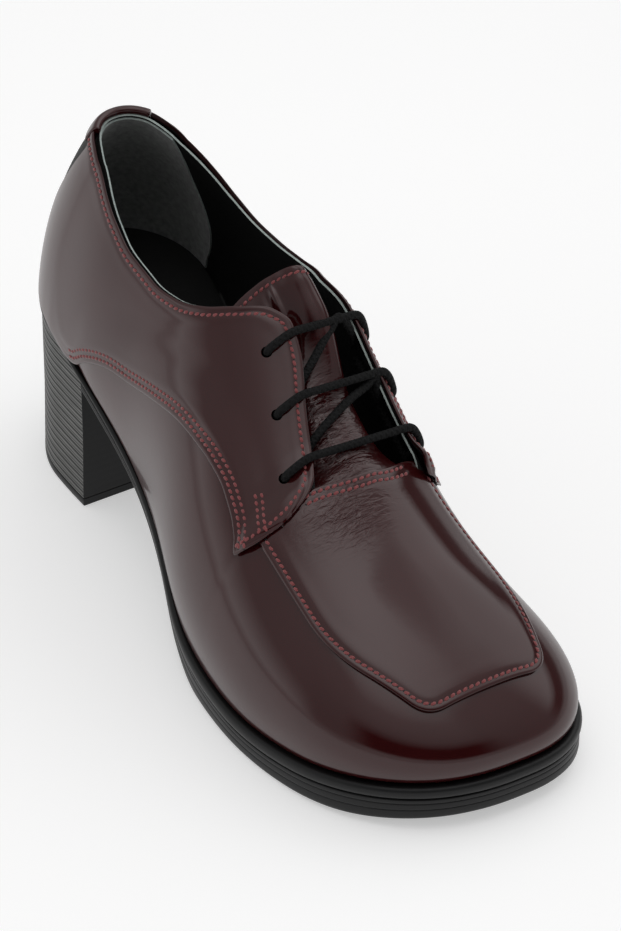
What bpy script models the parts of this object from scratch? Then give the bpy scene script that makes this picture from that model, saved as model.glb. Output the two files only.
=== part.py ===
"""A right-foot lace-up derby with an apron toe on a block heel, built piece by piece.

Sizes are in millimetres, and `add_piece` turns them into metres. Along the foot a point has a
station, counted from behind the heel towards the toe. The toe points to -Y, the outer (lateral)
side of the foot is -X and the inner (medial) side +X, and the shoe stands on z = 0.

The upper is a fan loft over the last. A `turn` runs round each side of the shoe: 0 at the heel
seam, 1 where the heel's curve ends, 2 where the toe's curve starts, 3 at the toe tip. A `rise`
runs up the wall: 0 at the feather line, where upper and sole meet, and 1 at the ridge of the
instep. Every leather piece is a patch of that loft between two offsets from it.
"""

import bpy
import bmesh
import numpy as np
from mathutils import Matrix, Vector

MM = 0.001

# Outline of the last in plan
HEEL_STATION = 5.5
HEEL_CURVE_END = 38.0
TOE_CURVE_START = 200.0
TOE_STATION = 243.0
HEEL_ROUNDNESS = 2.1
TOE_ROUNDNESS = 2.6

# Stretch of the ridge that the fan's ribs aim at
SPINE_BACK = 42.0
SPINE_FRONT = 190.0
SPINE_SOFTNESS = 12.0

# Brings rise * (1 - rise) ** 2, the shape of the wall's swell, to a peak of 1
SWELL_PEAK = 27 / 4

# Middle of the shoe's box, the origin of the frame
ORIGIN_X = 0.698
ORIGIN_STATION = 124.856

# Thicknesses and clearances
WALL = 1.8
OVERLAY = 1.2
BACKSTAY_THICKNESS = 0.8
TAB_THICKNESS = 1.0
TONGUE_THICKNESS = 2.0
INSOLE_THICKNESS = 2.8
LIFT_THICKNESS = 2.5
LACE_DIAMETER = 2.8
EYELET_DIAMETER = 3.4
DRILL_LENGTH = 9.0
SEAT_GAP = 0.3
SOLE_CLEAR = 0.2
SKIN_GAP = 0.4
TONGUE_GAP = 0.5
TONGUE_SINK = 2.0

# Places along the shoe
BREAST_STATION = 55.0
THROAT_TURN = 1.796
APRON_BACK_TURN = 1.7925
TONGUE_ROOT_TURN = 1.845

# The quarter: its back edge leans from the heel seat to the collar, and leaves the backstay a wedge
BACK_EDGE_TURN = 0.26
BACK_EDGE_LEAN = 0.72
COLLAR_RISE = 0.6
BACKSTAY_GAP_TURN = 0.016
QUARTER_BACK_SHARES = [0.0, 0.17, 0.34, 0.5, 0.67, 0.83]

# The tab rolled over the collar's back, in turn along the collar and in rise up the wall
TAB_TURN = 0.55
TAB_OUTSIDE = 0.055
TAB_INSIDE = 0.012
TAB_SHOULDER = 0.008
TAB_CREST = 0.018
TAB_CLEAR = 0.007

# The inner facing leans out towards its lip, fading in and out along the throat
FACING_LEAN = 4.0
LEAN_DEPTH_RISE = 0.16
LEAN_START_TURNS = (1.44, 1.54)
LEAN_END_TURNS = (1.755, 1.81)
LEAN_PAST_LIP_RISES = (0.02, 0.08)

# Where the tongue sinks away from the facings, in turn from its root
TONGUE_SINK_TURNS = (0.06, 0.20)

# How finely the loft is divided
UPPER_ROWS = 10
CROWN_ROWS = 4
QUARTER_ROWS = 9
APRON_ROWS = 6
BACKSTAY_ROWS = 7
BACKSTAY_COLUMNS = 3
TAB_COLUMNS = 12
EYELET_SIDES = 10
NORMAL_STEP = 1e-3
MIN_COLUMN_TURN = 0.02
LACE_LIP_RISE = 0.01
WELD_DISTANCE = 0.01
SHARP_ANGLE = 40.0

LATERAL, MEDIAL = -1, 1


def table(columns, rows):
    """Rows of numbers under named columns, as one array per name."""
    values = np.array(rows, float)
    return {name: values[:, k] for k, name in enumerate(columns.split())}


LAST = table(
    "station feather_z lateral_x medial_x axis_x ridge_z ridge_x"
    " lateral_box medial_box lateral_bulge medial_bulge",
    [
        (5, 62.5, -23.0, 28.5, 3.0, 134.0, 3.0, 1.50, 1.50, 0.3, 0.3),
        (38, 57.0, -26.5, 30.0, 2.5, 134.0, 3.0, 1.50, 1.50, 0.5, 0.5),
        (60, 48.5, -26.5, 27.5, 1.5, 135.0, 5.0, 1.70, 1.75, 2.5, 2.5),
        (85, 35.0, -26.0, 25.0, 1.0, 130.0, 9.0, 1.80, 2.05, 3.5, 5.5),
        (110, 22.5, -30.5, 26.5, 1.0, 115.0, 12.0, 1.87, 2.28, 4.5, 8.5),
        (135, 14.5, -38.5, 34.0, 1.5, 95.0, 11.5, 1.95, 2.02, 4.5, 7.0),
        (160, 11.5, -43.0, 41.0, 2.5, 75.0, 8.5, 2.05, 1.78, 3.5, 4.0),
        (180, 11.0, -43.5, 44.0, 4.5, 62.0, 7.0, 2.15, 1.74, 3.0, 3.0),
        (200, 12.0, -40.5, 45.0, 7.5, 52.5, 6.5, 2.25, 1.84, 3.0, 3.0),
        (220, 14.0, -35.0, 45.0, 10.5, 45.0, 7.0, 2.30, 2.05, 3.0, 3.0),
        (243, 16.5, -28.0, 44.0, 12.5, 37.0, 8.0, 2.30, 2.30, 3.0, 3.0),
    ],
)

# Free edge of the upper: the collar, the top corner of the facing, then down the throat
TOP_EDGE = table(
    "turn lateral medial",
    [
        (0.00, 0.635, 0.635),
        (0.50, 0.638, 0.638),
        (1.00, 0.621, 0.580),
        (1.05, 0.599, 0.552),
        (1.10, 0.558, 0.509),
        (1.15, 0.524, 0.471),
        (1.22, 0.497, 0.450),
        (1.29, 0.507, 0.463),
        (1.36, 0.554, 0.506),
        (1.42, 0.637, 0.585),
        (1.47, 0.750, 0.675),
        (1.51, 0.865, 0.722),
        (1.545, 0.915, 0.738),
        (1.58, 0.910, 0.738),
        (1.66, 0.865, 0.724),
        (1.74, 0.829, 0.696),
        (1.796, 0.800, 0.668),
        (2.00, 0.780, 0.740),
        (3.00, 0.760, 0.760),
    ],
)

# The quarter's lower edge climbs from the heel breast to the vamp point, then turns up its front
QUARTER_LOW = table(
    "turn rise",
    [
        (1.060, 0.000),
        (1.100, 0.045),
        (1.144, 0.115),
        (1.215, 0.190),
        (1.305, 0.257),
        (1.400, 0.340),
        (1.492, 0.424),
        (1.554, 0.470),
        (1.605, 0.500),
        (1.656, 0.515),
        (1.700, 0.508),
        (1.733, 0.486),
        (1.751, 0.462),
        (1.765, 0.500),
        (1.777, 0.550),
        (1.785, 0.605),
        (1.789, 0.650),
    ],
)

# How the quarter's top edge leaves the throat and rounds its front corner
QUARTER_CORNER = table(
    "turn lateral medial",
    [(1.740, 0.829, 0.696), (1.765, 0.808, 0.688), (1.780, 0.765, 0.676), (1.789, 0.700, 0.656)],
)

# The apron's edge round the toe
APRON_EDGE = table(
    "turn lateral medial",
    [
        (1.7925, 0.545, 0.630),
        (1.884, 0.565, 0.626),
        (1.995, 0.576, 0.620),
        (2.110, 0.574, 0.604),
        (2.216, 0.566, 0.585),
        (2.400, 0.530, 0.540),
        (2.520, 0.498, 0.510),
        (2.630, 0.486, 0.503),
        (2.775, 0.500, 0.507),
        (3.000, 0.530, 0.530),
    ],
)

# The tongue's side edges under the facings
TONGUE_EDGE = table(
    "turn lateral medial",
    [
        (1.457, 0.700, 0.800),
        (1.480, 0.680, 0.790),
        (1.550, 0.670, 0.790),
        (1.660, 0.660, 0.780),
        (1.770, 0.640, 0.760),
        (1.845, 0.640, 0.750),
    ],
)

EYELETS = table(
    "turn lateral medial",
    [(1.556, 0.792, 0.630), (1.642, 0.763, 0.622), (1.729, 0.721, 0.605)],
)

# The sole: how far each tier stands out from the feather line, and the tread's height
SOLE = table(
    "station welt_out welt_thickness sole_out tread_z",
    [
        (5, 0.7, 2.2, 0.4, 60.0),
        (55, 0.7, 2.2, 0.4, 44.9),
        (70, 0.8, 2.3, 0.5, 37.4),
        (85, 0.9, 2.4, 0.5, 28.7),
        (110, 1.3, 2.8, 0.8, 15.2),
        (135, 1.9, 3.4, 1.3, 4.0),
        (152, 2.1, 3.6, 1.5, 0.0),
        (188, 2.2, 3.7, 1.6, 0.0),
        (215, 2.3, 3.8, 1.7, 1.1),
        (243, 2.4, 3.8, 1.8, 5.0),
    ],
)

# Side profiles of the tiers, from the underside up: share of the height, and the inset there
WELT_PROFILE = table("share inset", [(0.0, 0.7), (0.3, 0.0), (0.75, 0.1), (1.0, 1.0)])
SOLE_PROFILE = table(
    "share inset",
    [
        (0.0, 0.9),
        (0.14, 0.1),
        (0.36, 0.0),
        (0.43, 0.4),
        (0.50, 0.0),
        (0.68, 0.0),
        (0.75, 0.4),
        (0.82, 0.0),
        (0.95, 0.1),
        (1.0, 0.6),
    ],
)
HEEL_PROFILE = table("share inset", [(0.0, -0.5), (0.4, -0.1), (1.0, 0.2)])
LIFT_PROFILE = table("share inset", [(0.0, 0.0), (0.25, -0.5), (1.0, -0.5)])


def spline(knots, values):
    """Natural cubic through the knots."""
    step = np.diff(knots)
    slope = np.diff(values) / step
    system = np.diag(np.r_[1.0, 2.0 * (step[:-1] + step[1:]), 1.0])
    inner = np.arange(1, len(knots) - 1)
    system[inner, inner - 1] = step[:-1]
    system[inner, inner + 1] = step[1:]
    bend = np.linalg.solve(system, np.r_[0.0, 6.0 * np.diff(slope), 0.0])

    def at(x):
        x = np.clip(np.asarray(x, float), knots[0], knots[-1])
        k = np.clip(np.searchsorted(knots, x) - 1, 0, len(step) - 1)
        d = x - knots[k]
        linear = slope[k] - step[k] * (2.0 * bend[k] + bend[k + 1]) / 6.0
        return values[k] + d * (linear + d * (bend[k] / 2.0 + d * (bend[k + 1] - bend[k]) / (6.0 * step[k])))

    return at


def even_curve(knots, values):
    """Cubic through the knots that never overshoots them."""
    step = np.diff(knots)
    slope = np.diff(values) / step
    tangent = np.r_[slope[0], np.zeros(len(step) - 1), slope[-1]]
    same = slope[:-1] * slope[1:] > 0.0
    tangent[1:-1][same] = 2.0 * (slope[:-1] * slope[1:])[same] / (slope[:-1] + slope[1:])[same]

    def at(x):
        x = np.clip(np.asarray(x, float), knots[0], knots[-1])
        k = np.clip(np.searchsorted(knots, x) - 1, 0, len(step) - 1)
        t = (x - knots[k]) / step[k]
        ease = t * t * (3.0 - 2.0 * t)
        start = step[k] * tangent[k] * t * (1.0 - t) ** 2
        end = step[k] * tangent[k + 1] * t * t * (t - 1.0)
        return values[k] + (values[k + 1] - values[k]) * ease + start + end

    return at


def ease(value, low, high):
    """Smooth step from 0 at `low` to 1 at `high`."""
    t = np.clip((np.asarray(value, float) - low) / (high - low), 0.0, 1.0)
    return t * t * (3.0 - 2.0 * t)


SECTION = {name: spline(LAST["station"], column) for name, column in LAST.items()}
SOLE_LINE = {name: even_curve(SOLE["station"], column) for name, column in SOLE.items()}


def by_side(source):
    """The lateral and medial columns of an edge table, as curves."""
    names = {LATERAL: "lateral", MEDIAL: "medial"}
    return {side: even_curve(source["turn"], source[name]) for side, name in names.items()}


TOP = by_side(TOP_EDGE)
VAMP_POINT_TURN = 1.751
CORNER_TURN = QUARTER_CORNER["turn"][0]
CORNER = by_side(QUARTER_CORNER)
APRON = by_side(APRON_EDGE)
TONGUE = by_side(TONGUE_EDGE)
LOW = even_curve(QUARTER_LOW["turn"], QUARTER_LOW["rise"])


def outline(turn):
    """Station of a turn round the shoe, and how wide the outline still is there."""
    heel = np.clip(turn, 0.0, 1.0) * np.pi / 2
    side = np.clip(turn - 1.0, 0.0, 1.0)
    toe = np.clip(turn - 2.0, 0.0, 1.0) * np.pi / 2
    station = HEEL_CURVE_END - (HEEL_CURVE_END - HEEL_STATION) * np.abs(np.cos(heel)) ** (2 / HEEL_ROUNDNESS)
    station = station + (TOE_CURVE_START - HEEL_CURVE_END) * side
    station = station + (TOE_STATION - TOE_CURVE_START) * np.sin(toe) ** (2 / TOE_ROUNDNESS)
    width = np.sin(heel) ** (2 / HEEL_ROUNDNESS) * np.abs(np.cos(toe)) ** (2 / TOE_ROUNDNESS)
    return station, width


def turn_at(station):
    """Turn of a station on the straight run between heel and toe curves."""
    return 1.0 + (station - HEEL_CURVE_END) / (TOE_CURVE_START - HEEL_CURVE_END)


def feather(turn, side):
    """The feather line: x, station and height."""
    station, width = outline(turn)
    axis = SECTION["axis_x"](station)
    edge = SECTION["lateral_x" if side == LATERAL else "medial_x"](station)
    return axis + (edge - axis) * width, station, SECTION["feather_z"](station)


def last(turn, rise, side):
    """A point of the last's surface."""
    turn, rise = np.broadcast_arrays(np.asarray(turn, float), np.asarray(rise, float))
    name = "lateral" if side == LATERAL else "medial"
    x, station, low = feather(turn, side)
    soft = SPINE_SOFTNESS
    spine = SPINE_BACK + soft * np.log1p(np.exp((station - SPINE_BACK) / soft))
    spine = SPINE_FRONT - soft * np.log1p(np.exp((SPINE_FRONT - spine) / soft))
    box = SECTION[name + "_box"](station)
    angle = rise * np.pi / 2
    inward = 1.0 - np.abs(np.cos(angle)) ** (2 / box)
    upward = np.sin(angle) ** (2 / box)
    swell = SECTION[name + "_bulge"](station) * SWELL_PEAK * rise * (1.0 - rise) ** 2
    run_x = SECTION["ridge_x"](spine) - x
    run_s = spine - station
    length = np.hypot(run_x, run_s) + 1e-9
    at_s = station + run_s * inward
    z = low + (SECTION["ridge_z"](at_s) - low) * upward
    x = x + run_x * inward - run_x / length * swell
    at_s = at_s - run_s / length * swell
    return np.stack([x - ORIGIN_X, ORIGIN_STATION - at_s, z], -1)


def outward(turn, rise, side):
    """Unit normal of the last. On the ridge it is shared by both sides."""
    turn, rise = np.broadcast_arrays(np.asarray(turn, float), np.asarray(rise, float))
    step = NORMAL_STEP
    high = np.minimum(rise + step, 1.0)
    low = np.maximum(high - 2 * step, 0.0)

    def one(which):
        ahead = last(np.minimum(turn + step, 3.0), rise, which)
        along = ahead - last(np.maximum(turn - step, 0.0), rise, which)
        up = last(turn, high, which) - last(turn, low, which)
        normal = -which * np.cross(along, up)
        return normal / np.linalg.norm(normal, axis=-1, keepdims=True)

    normal = one(side)
    ridge = (rise > 1.0 - step)[..., None]
    normal = np.where(ridge, normal + one(-side), normal)
    return normal / np.linalg.norm(normal, axis=-1, keepdims=True)


def lean(turn, rise, side):
    """How far the inner facing stands out of the last."""
    if side == LATERAL:
        return 0.0
    along = ease(turn, *LEAN_START_TURNS) * (1.0 - ease(turn, *LEAN_END_TURNS))
    below_lip = TOP[side](turn) - np.asarray(rise, float)
    height = (1.0 - ease(below_lip, 0.0, LEAN_DEPTH_RISE)) * (1.0 - ease(-below_lip, *LEAN_PAST_LIP_RISES))
    return FACING_LEAN * along * height


def skin(turn, rise, side, offset):
    """A point at an offset from the leather's own form, outwards positive."""
    out = np.asarray(offset + lean(turn, rise, side), float)
    return last(turn, rise, side) + outward(turn, rise, side) * out[..., None]


def leather(name, color, roughness, coat=0.0):
    """A plain material for one piece."""
    material = bpy.data.materials.new(name)
    material.use_nodes = True
    shader = material.node_tree.nodes["Principled BSDF"]
    shader.inputs["Base Color"].default_value = (*color, 1.0)
    shader.inputs["Roughness"].default_value = roughness
    shader.inputs["Metallic"].default_value = 0.0
    shader.inputs["Coat Weight"].default_value = coat
    return material


PATENT = (0.042, 0.017, 0.018)
BLACK_RUBBER = (0.012, 0.012, 0.013)
BLACK_CORD = (0.010, 0.010, 0.010)
BLACK_LINING = (0.015, 0.015, 0.016)


def add_piece(name, points, faces, material):
    """One named object from points in millimetres."""
    shape = bmesh.new()
    corners = [shape.verts.new(Vector(p) * MM) for p in points]
    for face in faces:
        ring = list(dict.fromkeys(face))
        if len(ring) > 2:
            shape.faces.new([corners[k] for k in ring])
    bmesh.ops.delete(shape, geom=[v for v in shape.verts if not v.link_faces], context="VERTS")
    bmesh.ops.triangulate(shape, faces=shape.faces[:], quad_method="SHORT_EDGE")
    mesh = bpy.data.meshes.new(name)
    shape.to_mesh(mesh)
    shape.free()
    mesh.materials.append(material)
    mesh.shade_smooth()
    mesh.set_sharp_from_angle(angle=np.radians(SHARP_ANGLE))
    piece = bpy.data.objects.new(name, mesh)
    bpy.context.scene.collection.objects.link(piece)
    return piece


def close_between(name, faces, outer, inner, material):
    """A solid between an outer sheet and an inner one of the same faces."""
    count = len(outer)
    rings = [tuple(dict.fromkeys(face)) for face in faces]
    rings = [ring for ring in rings if len(ring) > 2]
    edges = [pair for ring in rings for pair in zip(ring, ring[1:] + ring[:1])]
    known = set(edges)
    rim = [(b, a, a + count, b + count) for a, b in edges if (b, a) not in known]
    inside = [tuple(count + k for k in reversed(ring)) for ring in rings]
    return add_piece(name, np.vstack([outer, inner]), rings + inside + rim, material)


def grid_faces(ids):
    """Quads over a grid of point numbers, first index along the shoe, second up it."""
    faces = []
    for i in range(len(ids) - 1):
        for j in range(min(len(ids[i]), len(ids[i + 1])) - 1):
            faces.append((ids[i][j], ids[i + 1][j], ids[i + 1][j + 1], ids[i][j + 1]))
    return faces


class Sheet:
    """Collects patches of the loft and welds them where they share a key."""

    def __init__(self):
        self.numbers = {}
        self.spots = []
        self.faces = []

    def number(self, turn, rise, side):
        """Point number of a spot. Heel seam, ridge and toe tip are shared by both sides."""
        shared = turn in (0.0, 3.0) or rise >= 1.0
        key = (round(turn, 5), round(rise, 5), LATERAL if shared else side)
        if rise >= 1.0 and turn > 2.0:
            key = "pole"
        if key not in self.numbers:
            self.numbers[key] = len(self.spots)
            self.spots.append((turn, rise, LATERAL if shared else side))
        return self.numbers[key]

    def cover(self, ids, side):
        """Lay quads over columns of point numbers, heel first, facing out of the shoe."""
        faces = grid_faces(ids)
        self.faces += faces if side == LATERAL else [face[::-1] for face in faces]

    def patch(self, columns, side):
        """Lay quads over columns of (turn, rises), heel first."""
        self.cover([[self.number(turn, rise, side) for rise in rises] for turn, rises in columns], side)

    def solid(self, name, outer, inner, material, sink=lambda turn: 0.0):
        """The piece between two offsets from the last, sunk by a function of turn."""
        outside = np.array([skin(*spot, outer - sink(spot[0])) for spot in self.spots])
        inside = np.array([skin(*spot, inner - sink(spot[0])) for spot in self.spots])
        return close_between(name, self.faces, outside, inside, material)


def steps(start, end, count):
    """Evenly spaced values with both ends."""
    return [float(v) for v in np.linspace(start, end, count + 1)]


HEEL_TURNS = steps(0.0, 1.0, 8)
SIDE_TURNS = steps(1.0, THROAT_TURN, 17)
VAMP_TURNS = steps(THROAT_TURN, 2.0, 4)
TOE_TURNS = steps(2.0, 3.0, 12)
TURNS = HEEL_TURNS + SIDE_TURNS[1:] + VAMP_TURNS[1:] + TOE_TURNS[1:]


def build_upper(material):
    """The hollow upper: vamp, sides, counter and lining as one wall."""
    sheet = Sheet()
    for side in (LATERAL, MEDIAL):
        sheet.patch([(turn, steps(0.0, TOP[side](turn), UPPER_ROWS)) for turn in TURNS], side)
        crown = VAMP_TURNS + TOE_TURNS[1:]
        sheet.patch([(turn, steps(TOP[side](turn), 1.0, CROWN_ROWS)) for turn in crown], side)
    return sheet.solid("upper", 0.0, -WALL, material)


def back_edge(level):
    """Turn of the quarter's back edge at a share of the collar's height."""
    return BACK_EDGE_TURN + BACK_EDGE_LEAN * COLLAR_RISE * level


def tab_line(turn, side):
    """Rise just under the outer edge of the rolled tab."""
    return TOP[side](turn) - TAB_OUTSIDE - TAB_CLEAR


def build_quarter(name, side, material):
    """One quarter, laid over the vamp from the backstay to the facing."""
    sheet = Sheet()
    ids = []
    for share in QUARTER_BACK_SHARES:
        column = []
        for level in steps(0.0, 1.0, QUARTER_ROWS):
            turn = back_edge(level)
            turn += (1.0 - turn) * share
            column.append(sheet.number(turn, level * TOP[side](turn), side))
        ids.append(column)
    first, second, third = QUARTER_LOW["turn"][:3]
    turns = [1.0, (1.0 + first) / 2, first, second]
    turns += steps(third, QUARTER_LOW["turn"][-6], 14)
    turns += [VAMP_POINT_TURN] + steps(VAMP_POINT_TURN, QUARTER_LOW["turn"][-1], 5)[1:]
    for turn in turns:
        top = CORNER[side](turn) if turn > CORNER_TURN else TOP[side](turn)
        ids.append([sheet.number(turn, rise, side) for rise in steps(LOW(turn), top, QUARTER_ROWS)])
    sheet.cover(ids, side)
    return sheet.solid(name, SKIN_GAP + OVERLAY, SKIN_GAP, material)


def build_backstay(material):
    """The black strip over the heel seam, between the quarters."""
    sheet = Sheet()
    for side in (LATERAL, MEDIAL):
        ids = []
        for share in steps(0.0, 1.0, BACKSTAY_COLUMNS):
            column = []
            for level in steps(0.0, 1.0, BACKSTAY_ROWS):
                edge = back_edge(level)
                under_tab = level * tab_line(edge, side) / TOP[side](edge)
                turn = share * (back_edge(under_tab) - BACKSTAY_GAP_TURN)
                column.append(sheet.number(turn, level * tab_line(turn, side), side))
            ids.append(column)
        sheet.cover(ids, side)
    return sheet.solid("backstay", SKIN_GAP + BACKSTAY_THICKNESS, SKIN_GAP, material)


def build_collar_tab(material):
    """The short tab rolled over the collar at the back, a bent strip hooked on the wall."""
    face, lining = SKIN_GAP, -WALL - SKIN_GAP
    outer, inner = face + OVERLAY, lining - TAB_THICKNESS
    section = [
        (-TAB_OUTSIDE, face),
        (-TAB_OUTSIDE, outer),
        (TAB_SHOULDER, outer),
        (TAB_CREST, outer - TAB_THICKNESS),
        (TAB_CREST, lining),
        (TAB_SHOULDER, inner),
        (-TAB_INSIDE, inner),
        (-TAB_INSIDE, lining),
        (TAB_CLEAR, lining),
        (TAB_CLEAR, face),
    ]
    points = []
    for signed in steps(-TAB_TURN, TAB_TURN, TAB_COLUMNS):
        side = LATERAL if signed > 0 else MEDIAL
        turn = abs(signed)
        points += [skin(turn, TOP[side](turn) + climb, side, offset) for climb, offset in section]
    size = len(section)
    faces = []
    for i in range(TAB_COLUMNS):
        for k in range(size):
            n = (k + 1) % size
            faces.append((i * size + k, (i + 1) * size + k, (i + 1) * size + n, i * size + n))
    faces.append(tuple(range(size)))
    faces.append(tuple(TAB_COLUMNS * size + k for k in range(size))[::-1])
    return add_piece("collar_tab", points, faces, material)


def build_apron(material):
    """The raised apron over the toe."""
    sheet = Sheet()
    turns = [APRON_BACK_TURN] + VAMP_TURNS[1:] + TOE_TURNS[1:]
    for side in (LATERAL, MEDIAL):
        sheet.patch([(turn, steps(APRON[side](turn), 1.0, APRON_ROWS)) for turn in turns], side)
    return sheet.solid("apron", SKIN_GAP + OVERLAY, SKIN_GAP, material)


def tongue_sink(turn):
    """How far the tongue lies below the facings, none at its root."""
    return TONGUE_SINK * ease(TONGUE_ROOT_TURN - turn, *TONGUE_SINK_TURNS)


def build_tongue(material):
    """The tongue, inside the facings and under the back of the apron."""
    sheet = Sheet()
    top, shoulder = TONGUE_EDGE["turn"][:2]
    turns = [top, (top + shoulder) / 2] + steps(shoulder, TONGUE_ROOT_TURN, 10)
    for side, rows in ((LATERAL, 5), (MEDIAL, 3)):
        sheet.patch([(turn, steps(TONGUE[side](turn), 1.0, rows)) for turn in turns], side)
    face = -WALL - TONGUE_GAP
    return sheet.solid("tongue", face, face - TONGUE_THICKNESS, material, tongue_sink)


def plan_point(turn, side, margin):
    """Outline point in plan, moved out from the feather line by a margin."""
    step = NORMAL_STEP
    x, station, _ = feather(turn, side)
    x1, s1, _ = feather(min(turn + step, 3.0), side)
    x0, s0, _ = feather(max(turn - step, 0.0), side)
    along = np.array([x1 - x0, s0 - s1])
    normal = -side * np.array([along[1], -along[0]]) / np.hypot(*along)
    return x + normal[0] * margin, station - normal[1] * margin


def build_plate(name, turns, levels, material):
    """A stack of outline loops, closed above and below.

    Each level gives the margin to the feather line and the height, both as functions of station.
    """
    count = len(turns)
    from_heel, to_toe = turns[0] == 0.0, turns[-1] == 3.0
    back = range(count - 2 if to_toe else count - 1, 0 if from_heel else -1, -1)
    loop = [(k, LATERAL) for k in range(count)] + [(k, MEDIAL) for k in back]
    number = {spot: n for n, spot in enumerate(loop)}
    lateral = [number[k, LATERAL] for k in range(count)]
    medial = [number.get((k, MEDIAL), lateral[k]) for k in range(count)]
    size = len(loop)
    points = []
    for margin, height in levels:
        for k, side in loop:
            station = float(outline(np.float64(turns[k]))[0])
            x, s = plan_point(np.float64(turns[k]), side, float(margin(station)))
            points.append((x - ORIGIN_X, ORIGIN_STATION - s, float(height(s))))
    faces = []
    for level in range(len(levels) - 1):
        low, high = level * size, (level + 1) * size
        for n in range(size):
            m = (n + 1) % size
            faces.append((low + n, low + m, high + m, high + n))
    top = (len(levels) - 1) * size
    for k in range(count - 1):
        ring = (lateral[k + 1], medial[k + 1], medial[k], lateral[k])
        faces.append(tuple(top + n for n in ring))
        faces.append(ring[::-1])
    return add_piece(name, points, faces, material)


def seat_z(station):
    """Underside of the upper and insole, and top of the welt."""
    return SECTION["feather_z"](station) - SEAT_GAP


def welt_bottom(station):
    """Underside of the welt."""
    return seat_z(station) - SOLE_LINE["welt_thickness"](station)


def tiers(profile, margin, low, high):
    """Levels of a plate from a side profile."""

    def level(share, inset):
        return (
            lambda s: margin(s) - inset,
            lambda s: low(s) + (high(s) - low(s)) * share,
        )

    return [level(share, inset) for share, inset in zip(profile["share"], profile["inset"])]


def outsole_top(station):
    """Top of the outsole and of the heel block, under the welt."""
    return welt_bottom(station) - SEAT_GAP


def build_insole(material):
    """The insole on the welt, inside the upper's wall."""
    inset = WALL + SKIN_GAP + SOLE_CLEAR
    straight = table("share inset", [(0.0, inset), (1.0, inset)])
    low = SECTION["feather_z"]
    levels = tiers(straight, lambda s: 0.0, low, lambda s: low(s) + INSOLE_THICKNESS)
    return build_plate("insole", TURNS, levels, material)


def build_welt(material):
    """The rounded upper tier of the sole, all round the shoe."""
    levels = tiers(WELT_PROFILE, SOLE_LINE["welt_out"], welt_bottom, seat_z)
    return build_plate("welt", TURNS, levels, material)


def build_outsole(material):
    """The ribbed lower tier, from the heel's breast to the toe."""
    start = turn_at(BREAST_STATION + SEAT_GAP + SOLE_CLEAR)
    turns = [start] + [turn for turn in TURNS if turn > start + MIN_COLUMN_TURN]
    levels = tiers(SOLE_PROFILE, SOLE_LINE["sole_out"], SOLE_LINE["tread_z"], outsole_top)
    return build_plate("outsole", turns, levels, material)


def heel_turns():
    """Columns of the heel, from the seam to its flat breast."""
    breast = turn_at(BREAST_STATION)
    return HEEL_TURNS + [(1.0 + breast) / 2, breast]


def build_heel(material):
    """The block heel."""
    base = LIFT_THICKNESS + SEAT_GAP
    levels = tiers(HEEL_PROFILE, lambda s: 0.0, lambda s: base, outsole_top)
    return build_plate("heel", heel_turns(), levels, material)


def build_heel_lift(material):
    """The thin plate that the heel stands on."""
    levels = tiers(LIFT_PROFILE, lambda s: 0.0, lambda s: 0.0, lambda s: LIFT_THICKNESS)
    return build_plate("heel_lift", heel_turns(), levels, material)


def eyelet_spots(side):
    """Turn and rise of each eyelet of one side, top first."""
    column = EYELETS["lateral" if side == LATERAL else "medial"]
    return list(zip(EYELETS["turn"], column))


def punch_eyelets(pieces, side):
    """Cut the eyelets of one side through the pieces that lie there."""
    drill = bmesh.new()
    for turn, rise in eyelet_spots(side):
        spot = Vector(skin(turn, rise, side, 0.0)) * MM
        turned = Vector(outward(turn, rise, side)).to_track_quat("Z", "Y").to_matrix().to_4x4()
        radius = EYELET_DIAMETER / 2 * MM
        bmesh.ops.create_cone(drill, cap_ends=True, segments=EYELET_SIDES, radius1=radius, radius2=radius,
                              depth=DRILL_LENGTH * MM, matrix=Matrix.Translation(spot) @ turned)
    mesh = bpy.data.meshes.new("eyelet_drill")
    drill.to_mesh(mesh)
    drill.free()
    cutter = bpy.data.objects.new("eyelet_drill", mesh)
    bpy.context.scene.collection.objects.link(cutter)
    cutter.hide_render = True
    cutter.display_type = "WIRE"
    for piece in pieces:
        cut = piece.modifiers.new("eyelets", "BOOLEAN")
        cut.operation = "DIFFERENCE"
        cut.solver = "EXACT"
        cut.object = cutter


def cord_piece(name, route, material):
    """A capped round cord along a route."""
    curve = bpy.data.curves.new(name, "CURVE")
    curve.dimensions = "3D"
    curve.bevel_depth = LACE_DIAMETER / 2 * MM
    curve.bevel_resolution = 2
    curve.use_fill_caps = True
    line = curve.splines.new("POLY")
    line.points.add(len(route) - 1)
    for point, spot in zip(line.points, route):
        point.co = (*(np.asarray(spot) * MM), 1.0)
    guide = bpy.data.objects.new(name, curve)
    bpy.context.scene.collection.objects.link(guide)
    mesh = bpy.data.meshes.new_from_object(guide.evaluated_get(bpy.context.evaluated_depsgraph_get()))
    bpy.data.objects.remove(guide)
    weld = bmesh.new()
    weld.from_mesh(mesh)
    bmesh.ops.remove_doubles(weld, verts=weld.verts[:], dist=WELD_DISTANCE * MM)
    bmesh.ops.recalc_face_normals(weld, faces=weld.faces[:])
    weld.to_mesh(mesh)
    weld.free()
    mesh.materials.clear()
    mesh.materials.append(material)
    piece = bpy.data.objects.new(name, mesh)
    bpy.context.scene.collection.objects.link(piece)
    return piece


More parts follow.
